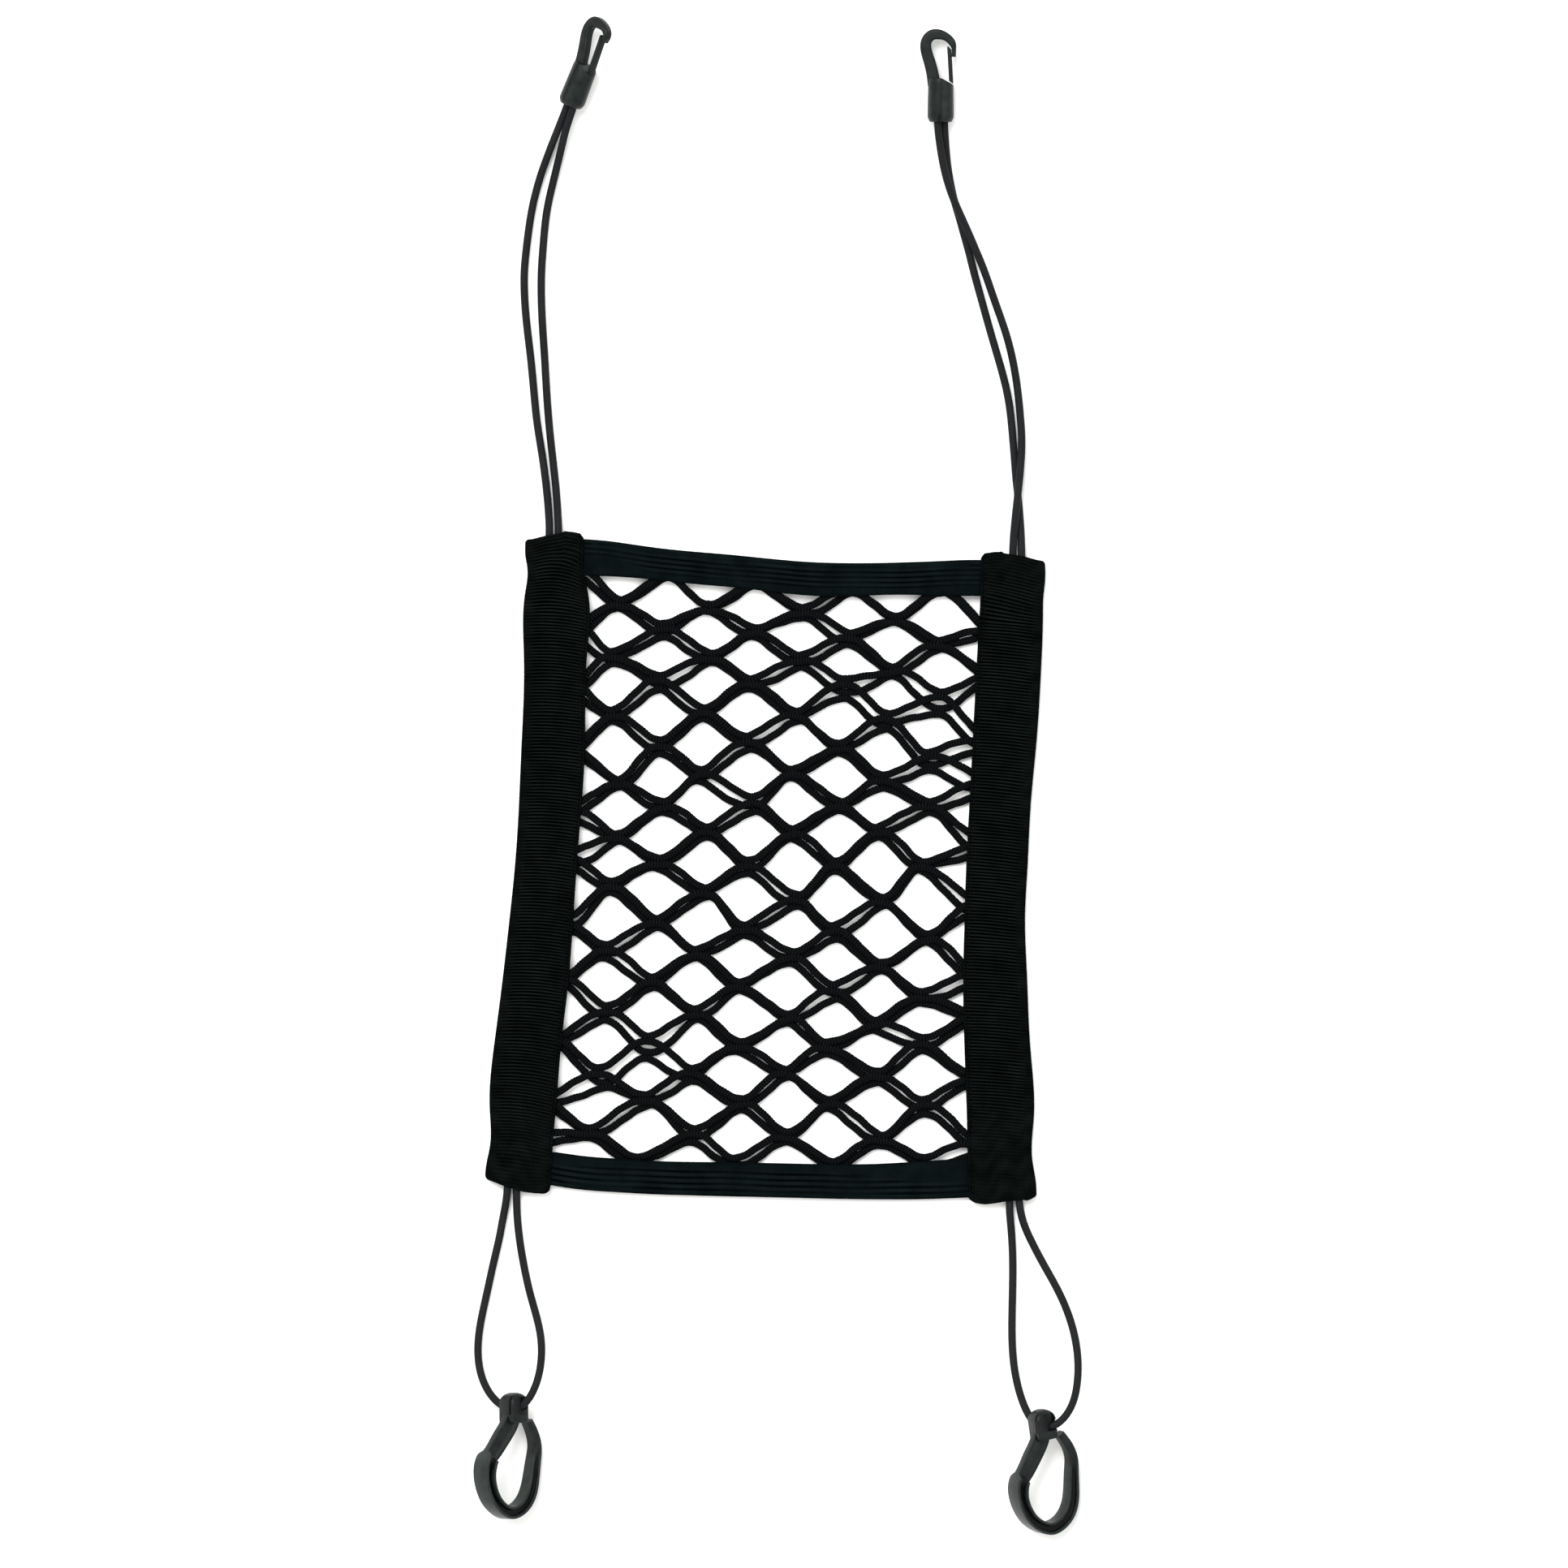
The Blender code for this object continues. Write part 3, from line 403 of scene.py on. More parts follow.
snapHooks = {
    "step": 0.6 * mm, "chamfer": 0.7, "chamferShare": 0.6, "soften": 0.25, "sides": 48, "sharp": 38.0,
    # hook: x, y, z, lean clockwise, bow up, gate side up
    "snap_hook_left": (-81.4, 320.3, 5.062, 21.5, 11.0, 44.0),
    "snap_hook_right": (73.9, 313.2, 5.569, 0.4, 0.5, 4.0),
    # across, along, width, thick
    "bow": (
        (-2.7, 15.5, 5.6, 3.8), (-3.5, 20.0, 5.1, 3.8), (-4.9, 25.5, 4.9, 3.8),
        (-6.35, 30.6, 4.7, 3.8), (-6.1, 34.0, 4.5, 3.8), (-3.9, 36.4, 4.5, 3.8),
        (-0.9, 36.7, 4.3, 3.8),
    ),
    # the nose of each hook, in the same columns
    "nose_right": (
        (2.4, 35.5, 3.4, 3.8), (4.6, 33.3, 3.1, 3.8), (5.2, 31.9, 2.5, 3.8), (5.4, 30.6, 1.8, 3.5),
        (5.4, 27.3, 1.6, 3.4),
    ),
    "nose_left": (
        (2.8, 36.1, 3.2, 3.8), (4.9, 34.6, 2.8, 3.8), (5.5, 33.1, 2.2, 3.8), (5.5, 32.0, 1.7, 3.5),
        (5.4, 30.7, 1.1, 3.2),
    ),
    "barrel": {
        "mouth": 5.6, "top": 5.35, "length": 18.3, "chamfer": 2.0, "slope": 28.0, "slopeStart": 0.4,
        "hollow": 4.1, "deep": 11.0, "wall": 0.5, "edge": 0.5, "flattened": 0.06,
        # dark line along the middle, the width of the painted highlights and shade beside it, and their
        # tones
        "seam": 0.9 * mm, "sheen": 1.1 * mm, "tones": (0.7, 0.6, 0.15),
    },
    "gate": {
        "root": (4.35, 16.5), "lean": 3.5, "width": 1.7, "depth": 3.0,
        "length": {"left": 16.1, "right": 14.8},
        "gap": -0.12, "heel": 0.5, "soften": 0.3, "tip": 0.45, "slant": 0.55,
    },
}

openHooks = {
    "step": 0.7 * mm, "rim": 1.1, "rimSlope": 0.3, "rimShare": 0.45, "web": 3.0, "soften": 0.35,
    # the ridge of the thin parts: from which thickness down, growing over what change, its height,
    # and how much narrower it is than the groove's floor
    "thin": 4.0, "thinChange": 0.6, "ridge": 0.55, "ridgeSlim": 0.8, "sharp": 32.0,
    # hook: x, y, z, lean clockwise, eye up, knee side up, the cord through its eye
    "open_hook_left": (-105.1, -225.8, 10.4, 0.0, 0.0, 40.0, "cord_lower_left"),
    "open_hook_right": (116.5, -232.6, 13.3, -8.0, 9.5, 27.0, "cord_lower_right"),
    # across, along, width, thick, groove (0 none, 1 full)
    "bar": (
        (0.2, 0.0, 7.0, 3.6, 0.0), (-2.6, -7.2, 7.4, 3.6, 0.0), (-6.8, -12.9, 7.5, 3.6, 0.0),
        (-12.9, -20.3, 6.6, 3.8, 0.0), (-13.8, -21.2, 5.4, 9.4, 0.0), (-15.4, -24.8, 5.3, 9.5, 0.8),
        (-15.7, -29.5, 4.9, 9.4, 1.0), (-14.4, -34.8, 4.8, 9.0, 1.0), (-11.8, -39.4, 4.9, 8.5, 1.0),
        (-8.0, -42.7, 5.0, 7.9, 1.0), (-3.6, -44.4, 5.2, 7.3, 1.0), (1.4, -43.2, 5.2, 6.8, 1.0),
        (5.4, -40.0, 5.3, 6.5, 1.0), (7.9, -35.6, 5.2, 6.2, 1.0), (9.4, -29.4, 4.8, 5.9, 1.0),
        (10.5, -22.7, 4.4, 5.6, 0.8), (11.2, -17.2, 4.0, 5.2, 0.0), (10.3, -12.4, 3.7, 4.8, 0.0),
        (7.0, -6.0, 3.4, 4.2, 0.0),
    ),
    "eye": {
        "half": (4.7, 4.8), "low": -6.7, "high": 6.0, "dome": 4.4, "domeDepth": 0.75, "soften": 1.6,
        # where the straight part starts above the lower end
        "straight": 1.2,
        "bore": 4.2, "boreSides": 24, "boreStep": 1.5, "reach": 16.0,
        # distance from the lower end, how far the block is drawn in there
        "lowerEdge": ((0.0, 0.12, 0.5), (0.5, 0.2, 0.0)),
    },
    # cuts into the side and the upper face of the eye: middle x, y, z and size
    "cuts": (((-4.5, 0.9, 3.0), (2.4, 8.4, 0.6)), ((1.7, 0.6, 4.6), (3.2, 7.2, 2.4))),
    # share along the bar, strength of the painted shade in the groove and the painted highlights on the
    # rims there
    "grooved": ((0.0, 0.23, 0.265, 0.83, 0.87, 1.0), (0.0, 0.0, 1.0, 1.0, 0.0, 0.0)),
    # tone of the six corners of half a section, from groove to groove: painted shade in the groove,
    # painted highlights on the rims
    "grooveLightAndShade": (0.0, 0.75, 1.0, 1.0, 0.75, 0.0),
}


def placeOf(row, rollSide):
    # a hook's turn and origin: lean about z, then pitch about its x and roll about its y
    x, y, z, lean, pitch, roll = row[:6]
    turn = Matrix.Rotation(np.radians(-lean), 3, "Z") @ Matrix.Rotation(np.radians(pitch), 3, "X")
    turn = turn @ Matrix.Rotation(np.radians(rollSide * roll), 3, "Y")
    return np.array(turn), np.array((x, y, z)) * mm


def sweptBar(spine, section, step):
    # a section carried along a flat spine; its sizes follow across and along in each row
    spine = np.array(spine) * mm
    line = splineThrough(spine[:, :2], step)
    run = runOf(spine[:, :2])
    sizes = [np.interp(np.linspace(0.0, run[-1], len(line)), run, column) for column in spine[:, 2:].T]
    along = np.gradient(line, axis=0)
    along /= np.linalg.norm(along, axis=1)[:, None]
    ring = section(*sizes)
    x = line[:, 0:1] + along[:, 1:2] * ring[..., 0]
    y = line[:, 1:2] - along[:, 0:1] * ring[..., 0]
    return np.stack([x, y, ring[..., 1]], axis=-1)


def mirrored(right):
    # (x, z) corner pairs of the right half, and the same turned half way round for the left
    ring = np.stack([np.stack(np.broadcast_arrays(*corner), axis=-1) for corner in right], axis=1)
    return np.concatenate([ring, -ring], axis=1)


def bowSection(width, thick):
    # a rectangle with its four corners cut off, then rounded
    half, deep = width / 2.0, thick / 2.0
    cut = np.minimum(snapHooks["chamfer"] * mm, half * snapHooks["chamferShare"])
    ring = mirrored(((half - cut, -deep), (half, cut - deep), (half, deep - cut), (half - cut, deep)))
    return roundCorners(ring, snapHooks["soften"] * mm)


def rimmedSection(width, thick, groove):
    # a bar with a rim along each edge of its upper and lower face
    half, deep = width / 2.0, thick / 2.0
    rim = half - np.minimum(openHooks["rim"] * mm, half * openHooks["rimShare"])
    # the thin shank has a ridge in place of the groove
    thin = fade(thick / mm - openHooks["thin"], openHooks["thinChange"])
    floor = (rim - openHooks["rimSlope"] * mm) * (1.0 - openHooks["ridgeSlim"] * thin)
    sunk = deep - groove / mm * (deep - openHooks["web"] * mm / 2.0) + thin * openHooks["ridge"] * mm
    ring = mirrored(((floor, -sunk), (rim, -deep), (half, -deep),
                     (half, deep), (rim, deep), (floor, sunk)))
    return roundCorners(ring, openHooks["soften"] * mm)


def barrelGrid(settings):
    # turned outline from the hollow's floor out of the mouth, up the wall and over the sloped top
    cosine, sine = unitRing(snapHooks["sides"]).T
    keys = ("mouth", "top", "hollow", "edge", "deep", "chamfer", "length")
    mouth, top, hollow, edge, deep, chamfer, length = (settings[key] for key in keys)
    lip, start = hollow + settings["wall"], chamfer + 0.1
    slope = np.tan(np.radians(settings["slope"]))

    def topLevel(radius):
        return length - np.maximum(radius * cosine - settings["slopeStart"], 0.0) * slope

    # radius and level of each ring
    rings = [
        (0.6, deep), (hollow - 0.3, deep), (hollow, deep - 0.3), (hollow, 0.2), (hollow + 0.12, 0.0),
        (lip - 0.1, 0.0), (lip + 0.15, 0.2), (mouth - 0.2, chamfer - 0.5), (mouth - 0.02, start),
    ]
    for share in np.linspace(0.1, 1.0, 10):
        rings.append((mouth + (top - mouth) * share, start + share * (topLevel(top) - edge - start)))
    for share in (0.35, 0.7, 1.0):
        radius = top - edge * (1.0 - np.cos(share * np.pi / 2.0))
        rings.append((radius, topLevel(radius) - edge * (1.0 - np.sin(share * np.pi / 2.0))))
    for radius in (3.6, 2.2, 0.8):
        rings.append((radius, topLevel(radius)))
    radii = np.array([radius for radius, level in rings])[:, None]
    levels = np.array([np.broadcast_to(level, cosine.shape) for radius, level in rings])
    thin = 1.0 - settings["flattened"] * np.clip(levels / length, 0.0, 1.0) ** 2
    return np.stack([radii * cosine, levels, -radii * sine * thin], axis=-1) * mm


def gateGrid(settings, length):
    # a tongue whose foot is cut to the slope under it and whose tip is rounded
    half, deep = settings["width"] / 2.0, settings["depth"] / 2.0
    corners = np.array([[(-half, -deep), (half, -deep), (half, deep), (-half, deep)]])
    ring = roundCorners(corners, settings["soften"])[0]
    rise = half * np.tan(np.radians(snapHooks["barrel"]["slope"] - settings["lean"]))
    foot = settings["gap"] - ring[:, 0] / half * rise
    foot += np.maximum(-ring[:, 0] / half, 0.0) * settings["heel"]
    share = np.concatenate([[0.0], np.linspace(0.02, 0.96, 12), [0.985, 1.0]])[:, None]
    length = length - ring[:, 0] / half * settings["slant"]
    along = foot + share * (length - foot)
    slim = 1.0 - np.clip((along - length + settings["tip"]) / settings["tip"], 0.0, 1.0) ** 2 * 0.5
    lean = np.radians(settings["lean"])
    across = ring[:, 0] * slim
    x = settings["root"][0] + across * np.cos(lean) - along * np.sin(lean)
    y = settings["root"][1] + across * np.sin(lean) + along * np.cos(lean)
    return np.stack([x, y, ring[:, 1] * (0.3 + 0.7 * slim)], axis=-1) * mm


def makeSnapHook(side, finish):
    # turned barrel and swept bow as one moulding, and the gate's tongue as its own piece
    name = "snap_hook_" + side
    place = placeOf(snapHooks[name], -1.0)
    hook = Shape()
    settings = snapHooks["barrel"]
    barrel = barrelGrid(settings)
    across = barrel[..., 0]
    # a dark line down the middle of the barrel, with painted highlights and painted shade in stripes
    # beside it
    plain, dark, light = settings["tones"]
    seam = np.exp(-(across / settings["seam"]) ** 2)
    hook.addLoft(barrel, marks=plain - dark * seam + light * np.sin(across / settings["sheen"]))
    bow = snapHooks["bow"] + snapHooks["nose_" + side]
    hook.addLoft(sweptBar(bow, bowSection, snapHooks["step"]))
    piece = hook.make(name + "_moulding", finish, snapHooks["sharp"], place)
    showFor(piece, name)
    gate = Shape()
    gate.addLoft(gateGrid(snapHooks["gate"], snapHooks["gate"]["length"][side]))
    tongue = gate.make("gate_" + side + "_tongue", finish, snapHooks["sharp"], place)
    showFor(tongue, "gate_" + side)


def eyeGrid(settings):
    # a block whose top is domed: its half width and half depth fall as circles towards the top
    halfWide, halfDeep = settings["half"]
    low, high, dome = settings["low"], settings["high"], settings["dome"]
    edge, drawnIn = np.array(settings["lowerEdge"])
    turn = np.linspace(0.04, 0.99, 14) * np.pi / 2.0
    y = np.concatenate([low + edge, np.linspace(low + settings["straight"], high - dome, 12),
                        high - dome * (1.0 - np.sin(turn))])
    bend = np.clip((y - high + dome) / dome, 0.0, 1.0)
    fall = dome * (1.0 - np.sqrt(1.0 - bend ** 2))
    start = np.interp(y, low + edge, drawnIn)
    wide, deep = halfWide - fall - start, halfDeep - settings["domeDepth"] * fall - start
    corners = [np.stack([a * wide, b * deep], axis=-1) for a, b in ((-1, -1), (1, -1), (1, 1), (-1, 1))]
    ring = roundCorners(np.stack(corners, axis=1), settings["soften"])
    level = np.broadcast_to(y[:, None], ring.shape[:2])
    return np.stack([ring[..., 0], level, ring[..., 1]], axis=-1) * mm


def cut(piece, others, operation):
    # booleans with the other shapes, which are used up
    for other in others:
        step = piece.modifiers.new(operation.title(), "BOOLEAN")
        step.operation = operation
        step.solver = "EXACT"
        step.object = other
    graph = bpy.context.evaluated_depsgraph_get()
    mesh = bpy.data.meshes.new_from_object(piece.evaluated_get(graph))
    piece.modifiers.clear()
    piece.data = mesh
    for other in others:
        bpy.data.objects.remove(other, do_unlink=True)


def boxPiece(middle, size):
    # a block: its middle, and half its size to each side of that
    around = ((-0.5, -0.5), (0.5, -0.5), (0.5, 0.5), (-0.5, 0.5))
    corners = np.array([[(x, y, z) for x, z in around] for y in (-0.5, 0.5)])
    box = Shape()
    box.addLoft((np.array(middle) + corners * np.array(size)) * mm)
    return box.make("cutBox")


def makeOpenHook(side, finish):
    # swept bar joined to the domed eye, less the cord's bore and the moulded cuts
    name = "open_hook_" + side
    row = openHooks[name]
    turn, origin = placeOf(row, 1.0)
    bar = Shape()
    grid = sweptBar(openHooks["bar"], rimmedSection, openHooks["step"])
    groove = np.interp(np.linspace(0.0, 1.0, len(grid)), *openHooks["grooved"])[:, None]
    # painted shade in the grooves and painted highlights on the rims, where the bar is grooved
    marks = 0.5 + groove * (np.tile(np.repeat(openHooks["grooveLightAndShade"], 4), 2) - 0.5)
    bar.addLoft(grid, marks=np.broadcast_to(marks, grid.shape[:2]))
    piece = bar.make(name + "_moulding")
    eye = Shape()
    eye.addLoft(eyeGrid(openHooks["eye"]))
    cut(piece, [eye.make("eyeBlock")], "UNION")

    # the bore follows the cord, brought into the hook's own coordinates
    settings = openHooks["eye"]
    line = cordLine(cords[row[6]])
    line = line[np.linalg.norm(line[:, :2] - origin[:2], axis=1) < settings["reach"] * mm]
    line = evenSteps((line - origin) @ turn, settings["boreStep"] * mm)
    ring = unitRing(settings["boreSides"]) * settings["bore"] / 2.0 * mm
    bore = Shape()
    bore.addLoft(tubeGrid(line, np.broadcast_to(ring, (len(line), *ring.shape))))
    cut(piece, [bore.make("bore")] + [boxPiece(*box) for box in openHooks["cuts"]], "DIFFERENCE")

    piece.data.transform(Matrix.LocRotScale(Vector(origin), Matrix(turn.tolist()), None))
    piece.data.shade_smooth()
    piece.data.set_sharp_from_angle(angle=np.radians(openHooks["sharp"]))
    piece.data.materials.clear()
    piece.data.materials.append(finish)
    showFor(piece, name)


# cords

cordSizes = {"diameter": 3.0 * mm, "braid": 3.2 * mm, "sides": 20, "step": 0.8 * mm, "sharp": 60.0}

cords = {
    "cord_upper_left_a": {"farEnd": "fitting", "hook": "snap_hook_left", "route": (
        (-90.6, 128.0, 2.7), (-90.5, 136.0, 2.7), (-90.3, 141.6, 2.7), (-90.5, 147.5, 2.2),
        (-91.6, 160.1, 1.6), (-93.4, 173.8, 1.5), (-95.5, 187.4, 1.5), (-96.9, 201.0, 1.5),
        (-98.2, 214.6, 1.5), (-99.8, 228.3, 1.5), (-100.8, 241.9, 1.5), (-100.8, 250.4, 1.5),
        (-99.7, 262.3, 1.5), (-97.7, 276.0, 1.5), (-94.3, 289.6, 1.8), (-89.4, 303.2, 3.0),
        (-86.5, 310.5, 3.7), (-82.6, 320.6, 4.7), (-80.2, 328.0, 6.3),
    )},
    "cord_upper_left_b": {"farEnd": "fitting", "hook": "snap_hook_left", "route": (
        (-86.6, 128.0, 2.7), (-86.6, 136.0, 2.7), (-86.5, 141.6, 2.7), (-86.7, 147.5, 2.2),
        (-87.6, 160.1, 1.6), (-89.1, 173.8, 1.5), (-90.5, 187.4, 1.5), (-91.5, 201.0, 1.5),
        (-92.3, 214.6, 1.5), (-93.2, 228.3, 1.5), (-93.7, 241.9, 1.5), (-93.6, 250.4, 1.5),
        (-92.8, 262.3, 1.5), (-91.3, 276.0, 1.6), (-88.3, 289.6, 2.3), (-85.0, 303.2, 4.2),
        (-83.4, 309.6, 5.4), (-80.2, 319.4, 6.6), (-77.8, 326.8, 8.2),
    )},
    "cord_upper_right_a": {"farEnd": "fitting", "hook": "snap_hook_right", "route": (
        (104.1, 118.0, 2.7), (104.1, 126.0, 2.7), (104.2, 131.0, 2.7), (104.5, 138.5, 3.5),
        (105.1, 145.5, 4.6), (106.1, 155.0, 5.1), (107.0, 163.5, 4.9), (107.7, 172.1, 4.0),
        (107.9, 180.6, 2.6), (107.4, 189.1, 1.7), (106.6, 197.6, 1.5), (104.6, 211.2, 1.5),
        (101.2, 224.9, 1.5), (96.5, 238.5, 1.7), (91.7, 252.1, 2.6), (88.9, 258.9, 3.6),
        (86.0, 265.7, 4.5), (82.9, 272.6, 5.1), (79.9, 279.4, 5.4), (77.4, 286.2, 5.8),
        (75.5, 293.0, 6.4), (74.2, 299.8, 6.9), (73.2, 306.6, 6.9), (72.7, 313.0, 6.6),
        (72.7, 321.0, 6.5),
    )},
    "cord_upper_right_b": {"farEnd": "fitting", "hook": "snap_hook_right", "route": (
        (108.0, 118.0, 2.7), (108.0, 126.0, 2.7), (107.9, 131.0, 2.7), (107.7, 138.5, 2.1),
        (107.3, 145.5, 1.6), (106.5, 155.0, 1.5), (105.6, 163.5, 1.5), (104.9, 172.1, 1.5),
        (104.2, 180.6, 1.5), (103.4, 189.1, 1.5), (102.2, 197.6, 1.5), (98.9, 211.2, 1.5),
        (94.9, 224.9, 1.5), (91.1, 238.5, 1.5), (87.4, 252.1, 1.5), (85.7, 258.9, 1.5),
        (83.8, 265.7, 1.5), (81.9, 272.6, 1.5), (79.9, 279.4, 1.7), (78.3, 286.2, 2.1),
        (77.1, 293.0, 2.6), (76.3, 299.8, 3.3), (75.8, 306.6, 4.1), (75.5, 313.0, 4.6),
        (75.5, 321.0, 4.7),
    )},
    "cord_lower_left": {"farEnd": "object", "hook": "open_hook_left", "route": (
        (-108.0, -121.0, 2.7), (-107.9, -128.0, 2.7), (-107.9, -134.0, 2.7), (-108.6, -140.5, 2.2),
        (-109.8, -147.0, 1.7), (-111.4, -155.5, 1.5), (-113.6, -165.0, 1.5), (-115.8, -175.0, 1.5),
        (-118.0, -185.0, 1.5), (-119.8, -195.0, 1.8), (-120.2, -204.4, 2.6), (-118.6, -213.4, 4.0),
        (-115.0, -220.6, 5.8), (-110.2, -225.2, 8.0), (-105.2, -226.8, 10.8), (-100.6, -224.4, 12.8),
        (-97.1, -219.4, 12.6), (-94.7, -212.6, 10.4), (-93.6, -204.6, 7.2), (-94.0, -196.0, 4.2),
        (-96.0, -187.0, 2.3), (-98.6, -177.6, 1.6), (-101.0, -166.6, 1.5), (-102.7, -156.4, 1.5),
        (-103.7, -147.0, 1.7), (-104.0, -140.5, 2.2), (-104.1, -134.0, 2.7), (-104.1, -128.0, 2.7),
        (-104.1, -121.0, 2.7),
    )},
    "cord_lower_right": {"farEnd": "object", "hook": "open_hook_right", "route": (
        (103.0, -126.0, 2.7), (103.0, -132.0, 2.7), (102.9, -139.0, 2.7), (102.9, -144.0, 2.3),
        (103.3, -149.0, 1.7), (103.9, -157.0, 1.5), (104.2, -167.0, 1.5), (104.1, -177.0, 1.5),
        (103.9, -187.4, 1.6), (103.9, -197.6, 2.0), (104.6, -207.8, 3.2), (106.4, -217.6, 5.2),
        (109.2, -226.0, 7.8), (112.8, -231.8, 10.4), (117.1, -234.3, 12.8), (122.0, -233.2, 14.6),
        (126.4, -229.3, 14.4), (129.6, -223.2, 12.2), (131.2, -215.6, 8.8), (131.5, -207.0, 5.6),
        (130.4, -197.6, 3.1), (127.6, -187.4, 1.7), (123.2, -177.2, 1.5), (117.6, -167.0, 1.5),
        (112.3, -157.0, 1.5), (109.0, -149.5, 1.7), (107.5, -144.0, 2.3), (106.9, -139.0, 2.7),
        (106.8, -132.0, 2.7), (106.8, -126.0, 2.7),
    )},
}


def cordLine(settings):
    # the spline through the route, never lower than a cord lying on the floor
    line = splineThrough(np.array(settings["route"]) * mm, cordSizes["step"])
    line[:, 2] = np.maximum(line[:, 2], cordSizes["braid"] / 2.0)
    return line


def makeCord(name, settings, finish):
    # a round braid: the circle carried along the route
    radius, sides = cordSizes["braid"] / 2.0, cordSizes["sides"]
    line = cordLine(settings)
    run = runOf(line)
    sections = np.broadcast_to(unitRing(sides) * radius, (len(line), sides, 2))
    shape = Shape()
    shape.addLoft(tubeGrid(line, sections), aroundTube(sides, radius), run)
    piece = shape.make(name + "_braid", finish, cordSizes["sharp"])
    showFor(piece, name)


# sleeves and bindings: folded tapes

